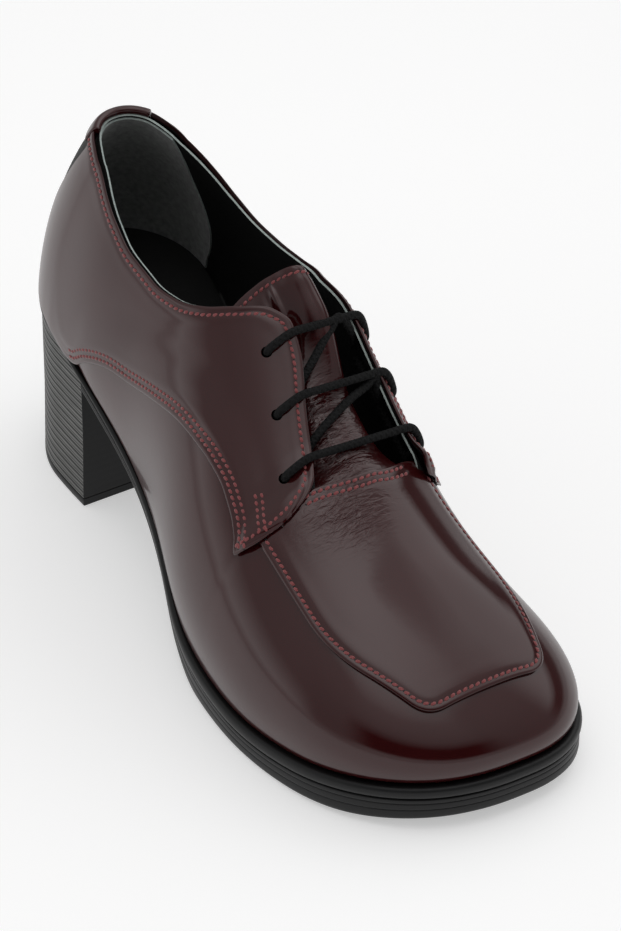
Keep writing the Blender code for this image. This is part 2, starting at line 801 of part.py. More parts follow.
def build_lace(material):
    """Three bars across the throat, joined by the two slanting runs between them."""
    lift = SKIN_GAP + OVERLAY + SKIN_GAP + LACE_DIAMETER / 2
    bars = []
    lips = {LATERAL: [], MEDIAL: []}
    for k, turn in enumerate(EYELETS["turn"]):
        ends = {side: skin(turn, eyelet_spots(side)[k][1], side, lift) for side in (LATERAL, MEDIAL)}
        for side in (LATERAL, MEDIAL):
            lips[side].append(skin(turn, TOP[side](turn) + LACE_LIP_RISE, side, lift))
        between = (TOP[MEDIAL](turn) + eyelet_spots(MEDIAL)[k][1]) / 2
        facing = skin(turn, between, MEDIAL, lift)
        bars.append([ends[LATERAL], lips[LATERAL][k], lips[MEDIAL][k], facing, ends[MEDIAL]])
    runs = [(lips[MEDIAL][k], lips[LATERAL][k + 1]) for k in range(2)]
    lace = cord_piece("lace", bars[0], material)
    for route in [runs[0], bars[1], runs[1], bars[2]]:
        part = cord_piece("lace_run", route, material)
        part.hide_render = True
        part.display_type = "WIRE"
        join = lace.modifiers.new("join", "BOOLEAN")
        join.operation = "UNION"
        join.solver = "EXACT"
        join.object = part
    return lace


def main():
    """Clear the scene, build every piece and hang them on one empty."""
    for thing in list(bpy.data.objects):
        bpy.data.objects.remove(thing, do_unlink=True)
    rubber = leather("black_rubber", BLACK_RUBBER, 0.55)
    lining = leather("black_lining", BLACK_LINING, 0.85)
    patent = leather("burgundy_patent", PATENT, 0.12, 1.0)
    upper = build_upper(patent)
    quarters = {
        LATERAL: build_quarter("quarter_lateral", LATERAL, patent),
        MEDIAL: build_quarter("quarter_medial", MEDIAL, patent),
    }
    for side, quarter in quarters.items():
        punch_eyelets([upper, quarter], side)
    build_apron(patent)
    build_tongue(patent)
    build_backstay(lining)
    build_collar_tab(patent)
    build_insole(lining)
    build_welt(rubber)
    build_outsole(rubber)
    build_heel(rubber)
    build_heel_lift(rubber)
    build_lace(leather("black_lace", BLACK_CORD, 0.9))
    pieces = list(bpy.context.scene.objects)
    shoe = bpy.data.objects.new("shoe", None)
    bpy.context.scene.collection.objects.link(shoe)
    for piece in pieces:
        piece.parent = shoe


main()
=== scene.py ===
"""Looks of a right-foot lace-up derby in burgundy patent leather on a block heel.

Tables and fields hold millimetres, and `Bench` turns them into metres. A station counts from behind
the heel towards the toe. The toe points to -Y, the outer (lateral) side is -X and the inner (medial)
side +X, and the shoe stands on z = 0, as in the frame.

Leather is draped over the last. A `turn` runs round each side: 0 at the heel seam, 1 where the heel's
curve ends, 2 where the toe's curve starts, 3 at the toe tip. A `rise` runs up the wall: 0 at the
feather line, where upper and sole meet, and 1 at the ridge of the instep.
"""

import logging
import math
from dataclasses import dataclass, field
from enum import Enum
from typing import Any, Callable, Sequence

import bpy
import numpy as np
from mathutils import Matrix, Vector
from mathutils.bvhtree import BVHTree

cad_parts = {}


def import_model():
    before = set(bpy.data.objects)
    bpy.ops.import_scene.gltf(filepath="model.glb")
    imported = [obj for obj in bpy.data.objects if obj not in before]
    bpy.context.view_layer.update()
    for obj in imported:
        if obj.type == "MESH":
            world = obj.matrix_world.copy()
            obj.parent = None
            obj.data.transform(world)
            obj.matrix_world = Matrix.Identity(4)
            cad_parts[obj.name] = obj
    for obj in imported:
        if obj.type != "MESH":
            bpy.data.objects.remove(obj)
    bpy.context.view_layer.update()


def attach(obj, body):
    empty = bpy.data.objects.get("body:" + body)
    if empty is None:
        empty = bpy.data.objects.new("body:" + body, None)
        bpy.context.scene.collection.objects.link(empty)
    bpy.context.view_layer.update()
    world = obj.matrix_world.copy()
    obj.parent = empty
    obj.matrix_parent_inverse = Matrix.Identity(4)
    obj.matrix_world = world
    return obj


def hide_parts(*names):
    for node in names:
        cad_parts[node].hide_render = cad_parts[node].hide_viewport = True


LOG = logging.getLogger("derby")
MM = 0.001

Array = np.ndarray
Curve = Callable[[Any], Array]
Span = tuple[float, float]
Piece = bpy.types.Object
Material = bpy.types.Material
Nodes = bpy.types.NodeTree
Socket = bpy.types.NodeSocket


class Side(Enum):
    """Which side of the foot a piece lies on."""

    LATERAL = -1
    MEDIAL = 1

    @property
    def column(self) -> str:
        """Name of this side's column in a table."""
        return self.name.lower()


class Slot(Enum):
    """The record's material slots."""

    PATENT = "patent_leather"
    BLACK_LEATHER = "black_leather"
    RUBBER = "black_rubber"
    CORD = "lace_cord"


def table(columns: str, rows: Sequence[Sequence[float]]) -> dict[str, Array]:
    """Name the columns of a short table.

    Args:
        columns: Column names, parted by spaces.
        rows: One row of numbers for each section.

    Returns:
        One array for each column name.
    """
    values = np.array(rows, float)
    return {name: values[:, k] for k, name in enumerate(columns.split())}


def cell(knots: Array, place: Any) -> tuple[Array, Array]:
    """Which gap between knots a place falls in and how far into it, held at the ends."""
    x = np.clip(np.asarray(place, float), knots[0], knots[-1])
    k = np.clip(np.searchsorted(knots, x) - 1, 0, len(knots) - 2)
    return k, x - knots[k]


def natural_spline(knots: Array, values: Array) -> Curve:
    """Natural cubic through the knots.

    Args:
        knots: Rising places.
        values: The value at each place.

    Returns:
        The curve, held at its end values outside the knots.
    """
    step = np.diff(knots)
    slope = np.diff(values) / step
    system = np.diag(np.r_[1.0, 2.0 * (step[:-1] + step[1:]), 1.0])
    inner = np.arange(1, len(knots) - 1)
    system[inner, inner - 1] = step[:-1]
    system[inner, inner + 1] = step[1:]
    bend = np.linalg.solve(system, np.r_[0.0, 6.0 * np.diff(slope), 0.0])

    def at(place: Any) -> Array:
        """Value at a place."""
        k, d = cell(knots, place)
        start = slope[k] - step[k] * (2.0 * bend[k] + bend[k + 1]) / 6.0
        return values[k] + d * (start + d * (bend[k] / 2.0 + d * (bend[k + 1] - bend[k]) / (6.0 * step[k])))

    return at


def even_curve(knots: Array, values: Array) -> Curve:
    """Cubic through the knots that never overshoots them.

    Args:
        knots: Rising places.
        values: The value at each place.

    Returns:
        The curve, held at its end values outside the knots.
    """
    step = np.diff(knots)
    slope = np.diff(values) / step
    tangent = np.r_[slope[0], np.zeros(len(step) - 1), slope[-1]]
    same = slope[:-1] * slope[1:] > 0.0
    tangent[1:-1][same] = 2.0 * (slope[:-1] * slope[1:])[same] / (slope[:-1] + slope[1:])[same]

    def at(place: Any) -> Array:
        """Value at a place."""
        k, d = cell(knots, place)
        t = d / step[k]
        start = step[k] * tangent[k] * t * (1.0 - t) ** 2
        end = step[k] * tangent[k + 1] * t * t * (t - 1.0)
        return values[k] + (values[k + 1] - values[k]) * t * t * (3.0 - 2.0 * t) + start + end

    return at


def ease(value: Any, low: float, high: float) -> Array:
    """Smooth step from 0 at `low` to 1 at `high`."""
    t = np.clip((np.asarray(value, float) - low) / (high - low), 0.0, 1.0)
    return t * t * (3.0 - 2.0 * t)


def fade(value: Any, low: float, high: float) -> Array:
    """Smooth step from 1 at `low` to 0 at `high`."""
    return 1.0 - ease(value, low, high)


def unit(vectors: Array) -> Array:
    """Vectors scaled to length one."""
    return vectors / np.maximum(np.linalg.norm(vectors, axis=-1, keepdims=True), 1e-12)


def lengths(points: Array) -> Array:
    """Distance run along a line of points, 0 at the first."""
    return np.r_[0.0, np.cumsum(np.linalg.norm(np.diff(points, axis=0), axis=1))]


def tangents(points: Array) -> Array:
    """Unit direction of a line of points at each of them."""
    return unit(np.gradient(points, axis=0))


def resample(points: Array, count: int, margin: float = 0.0) -> Array:
    """A line of points spread evenly along its length, without a margin at both ends."""
    run = lengths(points)
    place = np.linspace(margin, run[-1] - margin, count)
    return np.stack([np.interp(place, run, points[:, k]) for k in range(points.shape[1])], -1)


SECTIONS = table(
    "station feather_z lateral_x medial_x axis_x ridge_z ridge_x"
    " lateral_box medial_box lateral_bulge medial_bulge",
    [
        (5, 62.5, -23.0, 28.5, 3.0, 134.0, 3.0, 1.50, 1.50, 0.3, 0.3),
        (38, 57.0, -26.5, 30.0, 2.5, 134.0, 3.0, 1.50, 1.50, 0.5, 0.5),
        (60, 48.5, -26.5, 27.5, 1.5, 135.0, 5.0, 1.70, 1.75, 2.5, 2.5),
        (85, 35.0, -26.0, 25.0, 1.0, 130.0, 9.0, 1.80, 2.05, 3.5, 5.5),
        (110, 22.5, -30.5, 26.5, 1.0, 115.0, 12.0, 1.87, 2.28, 4.5, 8.5),
        (135, 14.5, -38.5, 34.0, 1.5, 95.0, 11.5, 1.95, 2.02, 4.5, 7.0),
        (160, 11.5, -43.0, 41.0, 2.5, 75.0, 8.5, 2.05, 1.78, 3.5, 4.0),
        (180, 11.0, -43.5, 44.0, 4.5, 62.0, 7.0, 2.15, 1.74, 3.0, 3.0),
        (200, 12.0, -40.5, 45.0, 7.5, 52.5, 6.5, 2.25, 1.84, 3.0, 3.0),
        (220, 14.0, -35.0, 45.0, 10.5, 45.0, 7.0, 2.30, 2.05, 3.0, 3.0),
        (243, 16.5, -28.0, 44.0, 12.5, 37.0, 8.0, 2.30, 2.30, 3.0, 3.0),
    ],
)

# The free edge of the upper: collar, top corner of the facing, then down the throat
TOP_EDGE = table(
    "turn lateral medial",
    [
        (0.00, 0.635, 0.635), (0.50, 0.638, 0.638), (0.75, 0.633, 0.621), (1.00, 0.609, 0.578),
        (1.05, 0.587, 0.550), (1.10, 0.554, 0.509), (1.15, 0.524, 0.471), (1.22, 0.497, 0.450),
        (1.29, 0.507, 0.463), (1.36, 0.554, 0.506), (1.42, 0.637, 0.585), (1.47, 0.750, 0.675),
        (1.51, 0.865, 0.722), (1.545, 0.915, 0.738), (1.58, 0.910, 0.738), (1.66, 0.865, 0.724),
        (1.74, 0.829, 0.696), (1.796, 0.800, 0.668), (2.00, 0.780, 0.740), (3.00, 0.760, 0.760),
    ],
)

# The quarter's lower edge, from the heel's breast to the vamp point and up its front
QUARTER_LOW = table(
    "turn rise",
    [
        (1.060, 0.000), (1.100, 0.045), (1.144, 0.115), (1.215, 0.190), (1.305, 0.257), (1.400, 0.340),
        (1.492, 0.424), (1.554, 0.470), (1.605, 0.500), (1.656, 0.515), (1.700, 0.508), (1.733, 0.486),
        (1.751, 0.462), (1.765, 0.500), (1.777, 0.550), (1.785, 0.605), (1.789, 0.650),
    ],
)

QUARTER_CORNER = table(
    "turn lateral medial",
    [(1.740, 0.829, 0.696), (1.765, 0.808, 0.688), (1.780, 0.765, 0.676), (1.789, 0.700, 0.656)],
)

TONGUE_EDGE = table(
    "turn lateral medial",
    [
        (1.457, 0.700, 0.800), (1.480, 0.680, 0.788), (1.550, 0.670, 0.774), (1.660, 0.660, 0.748),
        (1.770, 0.640, 0.712), (1.845, 0.640, 0.700),
    ],
)

EYELETS = table(
    "turn lateral medial",
    [(1.556, 0.792, 0.630), (1.642, 0.763, 0.622), (1.729, 0.721, 0.605)],
)

SOLE = table(
    "station welt_out welt_thickness sole_out tread_z",
    [
        (5, 0.7, 2.2, 0.4, 60.0),
        (55, 0.7, 2.2, 0.4, 44.9),
        (70, 0.8, 2.3, 0.5, 37.4),
        (85, 0.9, 2.4, 0.5, 28.7),
        (110, 1.3, 2.8, 0.8, 15.2),
        (135, 1.9, 3.4, 1.3, 4.0),
        (152, 2.1, 3.6, 1.5, 0.0),
        (188, 2.2, 3.7, 1.6, 0.0),
        (215, 2.3, 3.8, 1.7, 1.1),
        (243, 2.4, 3.8, 1.8, 5.0),
    ],
)

# Side profiles of the two tiers: insets at shares of the height, with two grooves in the lower one
WELT_PROFILE = (
    (0.0, 1.3), (0.03, 0.75), (0.12, 0.3), (0.25, 0.06), (0.45, 0.0), (0.65, 0.08), (0.82, 0.35),
    (0.93, 0.75), (1.0, 1.35),
)
SOLE_PROFILE = (
    (0.0, 0.9), (0.03, 0.45), (0.09, 0.15), (0.18, 0.03), (0.40, 0.0), (0.44, 0.04), (0.47, 0.18),
    (0.50, 0.04), (0.54, 0.0), (0.70, 0.0), (0.74, 0.04), (0.77, 0.2), (0.80, 0.06), (0.86, 0.0),
    (0.94, 0.1), (0.98, 0.4), (1.0, 1.0),
)


def side_curves(source: dict[str, Array]) -> dict[Side, Curve]:
    """The lateral and medial columns of an edge table, as curves of turn."""
    return {side: even_curve(source["turn"], source[side.column]) for side in Side}


SECTION_CURVES = {name: natural_spline(SECTIONS["station"], column) for name, column in SECTIONS.items()}
SOLE_CURVES = {name: even_curve(SOLE["station"], column) for name, column in SOLE.items()}
TOP_CURVES = side_curves(TOP_EDGE)


def round_toe(turns: Sequence[float]) -> list[tuple[float, Side]]:
    """Turns and sides up the outer side, round the toe and back down the inner side."""
    return [(float(t), Side.LATERAL) for t in turns] + [(float(t), Side.MEDIAL) for t in turns[::-1][1:]]


def round_heel(turns: Sequence[float]) -> list[tuple[float, Side]]:
    """Turns and sides from the inner side round the heel to the outer side."""
    return [(float(t), Side.MEDIAL) for t in turns[::-1]] + [(float(t), Side.LATERAL) for t in turns[1:]]


@dataclass(frozen=True)
class RowPlan:
    """Where a column's rows lie, in millimetres from its two edges.

    Attributes:
        low: Distances from the lower edge, closest first.
        middle: How many rows are spread between the two edges' own.
        high: Distances from the upper edge, closest first.
        most: The most of a column's length that one edge's rows take.
    """

    low: tuple[float, ...]
    middle: int
    high: tuple[float, ...]
    most: float = 0.42


SEWN = (0.0, 0.15, 0.4, 0.8, 1.4, 2.0, 2.6, 3.3, 4.2, 5.4)


@dataclass(frozen=True)
class Column:
    """One column of a panel on the last.

    Attributes:
        side: Side of the foot.
        turn: Its turn, or a function that gives its turn by rise.
        low: Rise of its lower end.
        high: Rise of its upper end.
    """

    side: Side
    turn: Any
    low: float
    high: float

    def turns(self, rise: Array) -> Array:
        """Its turn at each rise."""
        return self.turn(rise) if callable(self.turn) else np.full(len(rise), float(self.turn))


@dataclass(frozen=True)
class Last:
    """The last that the leather is pulled over, a fan loft round the foot."""

    heel_station: float = 5.5
    heel_curve_end: float = 38.0
    toe_curve_start: float = 200.0
    toe_station: float = 243.0
    heel_roundness: float = 2.1
    toe_roundness: float = 2.6
    spine_back: float = 42.0
    spine_front: float = 190.0
    spine_softness: float = 12.0
    origin_x: float = 0.698
    origin_station: float = 124.856
    facing_lean: float = 4.0
    lean_depth: float = 0.16
    lean_start: Span = (1.44, 1.54)
    lean_end: Span = (1.755, 1.81)
    past_lip: Span = (0.02, 0.08)
    swell_peak: float = 27 / 4
    step: float = 1e-3

    @staticmethod
    def section(name: str, station: Any) -> Array:
        """A column of the section table at a station."""
        return SECTION_CURVES[name](station)

    @property
    def turn_length(self) -> float:
        """Millimetres of a turn on the run between the heel and toe curves."""
        return self.toe_curve_start - self.heel_curve_end

    def turn_at(self, station: float) -> float:
        """Turn of a station on the run between the heel and toe curves."""
        return 1.0 + (station - self.heel_curve_end) / self.turn_length

    def place(self, x: Any, station: Any, z: Any) -> Array:
        """Points of the frame from x, station and height."""
        return np.stack([x - self.origin_x, self.origin_station - station, z], -1)

    def outline(self, turn: Any) -> tuple[Array, Array]:
        """Place along the foot of a turn.

        Args:
            turn: Turns round the shoe.

        Returns:
            The stations, and how wide the outline still is there, from 0 to 1.
        """
        turn = np.asarray(turn, float)
        heel = np.clip(turn, 0.0, 1.0) * np.pi / 2
        toe = np.clip(turn - 2.0, 0.0, 1.0) * np.pi / 2
        back = (self.heel_curve_end - self.heel_station) * np.abs(np.cos(heel)) ** (2 / self.heel_roundness)
        run = self.turn_length * np.clip(turn - 1.0, 0.0, 1.0)
        front = (self.toe_station - self.toe_curve_start) * np.sin(toe) ** (2 / self.toe_roundness)
        width = np.sin(heel) ** (2 / self.heel_roundness) * np.abs(np.cos(toe)) ** (2 / self.toe_roundness)
        return self.heel_curve_end - back + run + front, width

    def feather(self, turn: Any, side: Side) -> tuple[Array, Array, Array]:
        """The feather line.

        Args:
            turn: Turns round the shoe.
            side: Side of the foot.

        Returns:
            Its x, station and height.
        """
        station, width = self.outline(turn)
        axis = self.section("axis_x", station)
        edge = self.section(side.column + "_x", station)
        return axis + (edge - axis) * width, station, self.section("feather_z", station)

    def point(self, turn: Any, rise: Any, side: Side) -> Array:
        """Points of the last's surface.

        Args:
            turn: Turns round the shoe.
            rise: Rises up the wall.
            side: Side of the foot.

        Returns:
            Points in the frame, in millimetres.
        """
        turn, rise = np.broadcast_arrays(np.asarray(turn, float), np.asarray(rise, float))
        x, station, low = self.feather(turn, side)
        soft = self.spine_softness
        spine = self.spine_back + soft * np.log1p(np.exp((station - self.spine_back) / soft))
        spine = self.spine_front - soft * np.log1p(np.exp((self.spine_front - spine) / soft))
        box = self.section(side.column + "_box", station)
        angle = rise * np.pi / 2
        inward = 1.0 - np.abs(np.cos(angle)) ** (2 / box)
        upward = np.sin(angle) ** (2 / box)
        swell = self.section(side.column + "_bulge", station) * self.swell_peak * rise * (1.0 - rise) ** 2
        run_x = self.section("ridge_x", spine) - x
        run_s = spine - station
        reach = np.hypot(run_x, run_s) + 1e-9
        at_s = station + run_s * inward
        z = low + (self.section("ridge_z", at_s) - low) * upward
        return self.place(x + run_x * inward - run_x / reach * swell, at_s - run_s / reach * swell, z)

    def normal(self, turn: Any, rise: Any, side: Side) -> Array:
        """Unit normals of the last, pointing out of the shoe.

        Args:
            turn: Turns round the shoe.
            rise: Rises up the wall.
            side: Side of the foot.

        Returns:
            One normal for each point.
        """
        turn, rise = np.broadcast_arrays(np.asarray(turn, float), np.asarray(rise, float))
        high = np.minimum(rise + self.step, 1.0)
        low = np.maximum(high - 2 * self.step, 0.0)
        ahead = self.point(np.minimum(turn + self.step, 3.0), rise, side)
        behind = self.point(np.maximum(turn - self.step, 0.0), rise, side)
        up = self.point(turn, high, side) - self.point(turn, low, side)
        return unit(-side.value * np.cross(ahead - behind, up))

    def lean(self, turn: Any, rise: Any, side: Side) -> Array:
        """How far the inner facing stands out of the last.

        Args:
            turn: Turns round the shoe.
            rise: Rises up the wall.
            side: Side of the foot.

        Returns:
            Millimetres, nought on the outer side.
        """
        if side is Side.LATERAL:
            return np.zeros(np.broadcast(turn, rise).shape)
        below = TOP_CURVES[side](turn) - np.asarray(rise, float)
        height = fade(below, 0.0, self.lean_depth) * fade(-below, *self.past_lip)
        return self.facing_lean * ease(turn, *self.lean_start) * fade(turn, *self.lean_end) * height

    def skin(self, turn: Any, rise: Any, side: Side, offset: Any) -> Array:
        """Points at an offset from the last and the facing's lean.

        Args:
            turn: Turns round the shoe.
            rise: Rises up the wall.
            side: Side of the foot.
            offset: Distance out of the surface, in millimetres.

        Returns:
            Points in the frame, in millimetres.
        """
        out = np.asarray(offset + self.lean(turn, rise, side), float)
        return self.point(turn, rise, side) + self.normal(turn, rise, side) * out[..., None]

    def shift(self, turn: Array, rise: Array, side: Side, distance: float) -> tuple[Array, Array]:
        """Move a line on the last sideways within the surface.

        Args:
            turn: Turns along the line.
            rise: Rises along the line.
            side: Side of the foot.
            distance: Millimetres to the left of the line's way, seen from outside.

        Returns:
            The moved line's turns and rises.
        """
        here = self.point(turn, rise, side)
        left = np.cross(self.normal(turn, rise, side), tangents(here)) * distance
        by_turn = (self.point(turn + self.step, rise, side) - here) / self.step
        by_rise = (self.point(turn, rise + self.step, side) - here) / self.step
        a = np.sum(by_turn * by_turn, -1)
        b = np.sum(by_turn * by_rise, -1)
        c = np.sum(by_rise * by_rise, -1)
        p = np.sum(by_turn * left, -1)
        q = np.sum(by_rise * left, -1)
        det = a * c - b * b
        return turn + (p * c - q * b) / det, rise + (q * a - p * b) / det

    def rows(self, column: Column, plan: RowPlan) -> tuple[Array, Array, Array]:
        """Rows of one column of a panel.

        Args:
            column: The column.
            plan: Where its rows lie.

        Returns:
            The rises, and their distances from the lower and the upper edge.
        """
        rises = np.linspace(column.low, column.high, 90)
        run = lengths(self.point(column.turns(rises), rises, column.side))
        squeeze = min(1.0, plan.most * run[-1] / max(plan.low[-1], plan.high[-1]))
        start = np.array(plan.low) * squeeze
        end = run[-1] - np.array(plan.high[::-1]) * squeeze
        middle = np.linspace(start[-1], end[0], plan.middle + 2)[1:-1]
        place = np.r_[start, middle, end]
        return np.interp(place, run, rises), place, run[-1] - place

    def drape(self, columns: Sequence[Column], plan: RowPlan, offset: Callable[..., Any]) -> Array:
        """Lay columns of rows on the last.

        Args:
            columns: The columns.
            plan: Where the rows lie.
            offset: Millimetres off the last, from turn, rise and the distances to both edges.

        Returns:
            The columns of points, in millimetres.
        """
        laid = []
        for column in columns:
            rise, from_low, from_high = self.rows(column, plan)
            turn = column.turns(rise)
            laid.append(self.skin(turn, rise, column.side, offset(turn, rise, from_low, from_high)))
        return np.array(laid)


@dataclass(frozen=True)
class Crease:
    """One crease or ridge pressed into the leather.

    Attributes:
        turn: Turn of its middle.
        rise: Rise of its middle.
        side: Side of the foot.
        heading: Degrees from the foot's length, towards the ridge.
        length: Its length in millimetres.
        width: Its width in millimetres.
        height: Height of the ridge in millimetres, below zero for a trough.
        reach: How far off the last it still works, in millimetres.
    """

    turn: float
    rise: float
    side: Side
    heading: float
    length: float
    width: float
    height: float
    reach: float = 15.0

    def relief(self, points: Array, last: Last) -> Array:
        """How far this crease lifts each point, in millimetres."""
        centre = last.point(self.turn, self.rise, self.side)
        normal = last.normal(self.turn, self.rise, self.side)
        ahead = unit(last.point(self.turn + last.step, self.rise, self.side) - centre)
        up = np.cross(normal, ahead) * -self.side.value
        angle = math.radians(self.heading)
        way = math.cos(angle) * ahead + math.sin(angle) * up
        apart = points - centre
        along = apart @ way / (self.length / 2)
        across = apart @ np.cross(normal, way) / (self.width / 2)
        depth = apart @ normal / self.reach
        return self.height * np.exp(-across**2 - np.abs(along) ** 3 - depth**2)


def pressed(points: Array, creases: Sequence[Crease], last: Last) -> Array:
    """Sum of the creases at each point, in millimetres."""
    total = np.zeros(points.shape[:-1])
    for crease in creases:
        total = total + crease.relief(points, last)
    return total


# A sewn edge: how much it is rounded at the cut, dipped along the thread and puffed behind it
CUT_DROP = 0.38
CUT_REACH = 0.7
THREAD_DIP = 0.17
THREAD_REACH = 0.75
PUFF = 0.1
PUFF_PLACE = 2.2
PUFF_REACH = 1.6


def sewn_edge(distance: Array, rows: Sequence[float]) -> Array:
    """Relief of a sewn leather edge.

    Args:
        distance: Millimetres from the cut edge.
        rows: Distances of the stitch rows.

    Returns:
        Height in millimetres.
    """
    relief = -CUT_DROP * (1.0 - np.clip(distance / CUT_REACH, 0.0, 1.0)) ** 2
    for row in rows:
        relief = relief - THREAD_DIP * np.exp(-(((distance - row) / THREAD_REACH) ** 2))
    return relief + PUFF * np.exp(-(((distance - max(rows) - PUFF_PLACE) / PUFF_REACH) ** 2))


class Bench:
    """The modelling steps that the pieces share."""

    @staticmethod
    def deselect() -> None:
        """Leave edit mode and select nothing."""
        if bpy.context.object and bpy.context.object.mode != "OBJECT":
            bpy.ops.object.mode_set(mode="OBJECT")
        bpy.ops.object.select_all(action="DESELECT")

    @staticmethod
    def pick(piece: Piece) -> None:
        """Make one piece the only selected and active one."""
        Bench.deselect()
        piece.select_set(True)
        bpy.context.view_layer.objects.active = piece

    @staticmethod
    def weld(piece: Piece) -> None:
        """Merge the corners that lie on each other."""
        Bench.pick(piece)
        bpy.ops.object.mode_set(mode="EDIT")
        bpy.ops.mesh.select_all(action="SELECT")
        bpy.ops.mesh.remove_doubles(threshold=2e-6)
        bpy.ops.object.mode_set(mode="OBJECT")

    @staticmethod
    def dress(piece: Piece, finishes: Sequence[Material]) -> None:
        """Put the finishes in the piece's material slots, face first."""
        piece.data.materials.clear()
        for finish in finishes:
            piece.data.materials.append(finish)

    @staticmethod
    def corners(mesh: bpy.types.Mesh) -> Array:
        """The places of a mesh's corners."""
        flat = np.zeros(len(mesh.vertices) * 3)
        mesh.vertices.foreach_get("co", flat)
        return flat.reshape(-1, 3)

    @staticmethod
    def sheet(name: str, points: Array, finishes: Sequence[Material], weld: bool = False) -> Piece:
        """Pull a grid primitive to a lofted sheet.

        Args:
            name: The piece's name.
            points: Columns of rows of places, in millimetres. Columns run anticlockwise seen from outside.
            finishes: Its materials, face first.
            weld: Merge edges that meet.

        Returns:
            The sheet, with its UV map in metres along columns and rows.
        """
        Bench.deselect()
        columns, rows = points.shape[:2]
        bpy.ops.mesh.primitive_grid_add(x_subdivisions=columns - 1, y_subdivisions=rows - 1, size=1.0)
        piece = bpy.context.object
        piece.name = name
        mesh = piece.data
        mesh.name = name
        flat = Bench.corners(mesh) + 0.5
        column = np.rint(flat[:, 0] * (columns - 1)).astype(int)
        row = np.rint(flat[:, 1] * (rows - 1)).astype(int)
        mesh.vertices.foreach_set("co", (points[column, row] * MM).ravel())
        across = lengths(points[:, rows // 2]) * MM
        upward = lengths(points[columns // 2]) * MM
        corner = np.zeros(len(mesh.loops), int)
        mesh.loops.foreach_get("vertex_index", corner)
        places = np.stack([across[column[corner]], upward[row[corner]]], -1)
        mesh.uv_layers.active.data.foreach_set("uv", places.ravel())
        mesh.update()
        if weld:
            Bench.weld(piece)
        Bench.dress(piece, finishes)
        return piece

    @staticmethod
    def modify(piece: Piece, kind: str, **settings: Any) -> None:
        """Add a modifier with settings and apply it."""
        Bench.pick(piece)
        bpy.ops.object.modifier_add(type=kind)
        modifier = piece.modifiers[-1]
        for name, value in settings.items():
            setattr(modifier, name, value)
        bpy.ops.object.modifier_apply(modifier=modifier.name)

    @staticmethod
    def panel(
        name: str, points: Array, thickness: float, finishes: Sequence[Material], weld: bool = False
    ) -> Piece:
        """Loft a sheet and give it its thickness inwards.

        Args:
            name: The piece's name.
            points: Columns of rows of places, in millimetres.
            thickness: In millimetres.
            finishes: Materials of the face, the cut edge and the back.
            weld: Merge edges that meet.

        Returns:
            The panel.
        """
        piece = Bench.sheet(name, points, finishes, weld)
        settings = {"offset": -1.0, "use_rim": True, "material_offset_rim": 1, "material_offset": 2}
        Bench.modify(piece, "SOLIDIFY", thickness=thickness * MM, **settings)
        return piece

    @staticmethod
    def tube(name: str, route: Array, radius: float, finish: Material, sides: int) -> Piece:
        """Sweep a round cord along a route.

        Args:
            name: The piece's name.
            route: Points along it, in millimetres.
            radius: Its radius in millimetres.
            finish: Its material.
            sides: Corners round it.

        Returns:
            The closed cord, its UV map in metres round and along it.
        """
        way = tangents(route)
        across = unit(np.cross(way[0], (0.0, 0.0, 1.0)))
        frames = []
        for step in way:
            across = unit(across - step * np.dot(across, step))
            frames.append(across)
        first = np.array(frames)
        second = np.cross(way, first)
        angle = np.linspace(0.0, 2 * np.pi, sides + 1)[:, None, None]
        ring = route + radius * (np.cos(angle) * first + np.sin(angle) * second)
        ends = np.repeat(route[None], sides + 1, 0)
        points = np.concatenate([ends[:, :1], ring, ends[:, -1:]], 1)
        return Bench.sheet(name, points, [finish], weld=True)

    @staticmethod
    def flex(piece: Piece, centre: Array, reach: tuple[float, float, float]) -> None:
        """Note at each corner how much the leather flexes there, fading out from a centre."""
        apart = (Bench.corners(piece.data) / MM - centre) / reach
        layer = piece.data.attributes.new("flex", "FLOAT", "POINT")
        layer.data.foreach_set("value", np.exp(-np.sum(apart**2, 1)).astype(np.float32))

    @staticmethod
    def complete(piece: Piece, slot: Slot, nodes: Sequence[str] = (), angle: float = 50.0) -> None:
        """Shade a finished piece and hang it on the frame.

        Args:
            piece: The finished piece.
            slot: The record's material slot it belongs to; not used.
            nodes: The frame's nodes that it stands for.
            angle: Degrees past which an edge stays sharp.
        """
        Bench.pick(piece)
        bpy.ops.object.shade_smooth_by_angle(angle=math.radians(angle))
        Bench.deselect()
        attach(piece, "root")
        if nodes:
            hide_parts(*nodes)
        triangles = sum(len(face.vertices) - 2 for face in piece.data.polygons)
        LOG.info("%s: %d triangles", piece.name, triangles)


def linear(hex_color: str) -> tuple[float, float, float, float]:
    """An sRGB hex colour as linear red, green, blue and alpha."""
    parts = [int(hex_color[k : k + 2], 16) / 255.0 for k in (1, 3, 5)]
    lit = [c / 12.92 if c <= 0.04045 else ((c + 0.055) / 1.055) ** 2.4 for c in parts]
    return (lit[0], lit[1], lit[2], 1.0)


def fill(node: bpy.types.Node, sockets: dict[Any, Any]) -> None:
    """Set a node's inputs, by name or number, to values or to other nodes' outputs."""
    for name, value in sockets.items():
        if isinstance(value, Socket):
            node.id_data.links.new(value, node.inputs[name])
        else:
            node.inputs[name].default_value = value


def add_node(
    tree: Nodes, kind: str, sockets: dict[Any, Any] | None = None, output: str = "", **settings: Any
) -> Socket:
    """Add a shader node.

    Args:
        tree: The tree it goes in.
        kind: The node's type, without the first part that all of them share.
        sockets: Values or other nodes' outputs, by input name or number.
        output: Name of the output to hand back, or nothing for the first one in use.
        settings: The node's own properties.

    Returns:
        The output.
    """
    node = tree.nodes.new("ShaderNode" + kind)
    for name, value in settings.items():
        setattr(node, name, value)
    fill(node, sockets or {})
    return node.outputs[output] if output else next(socket for socket in node.outputs if socket.enabled)


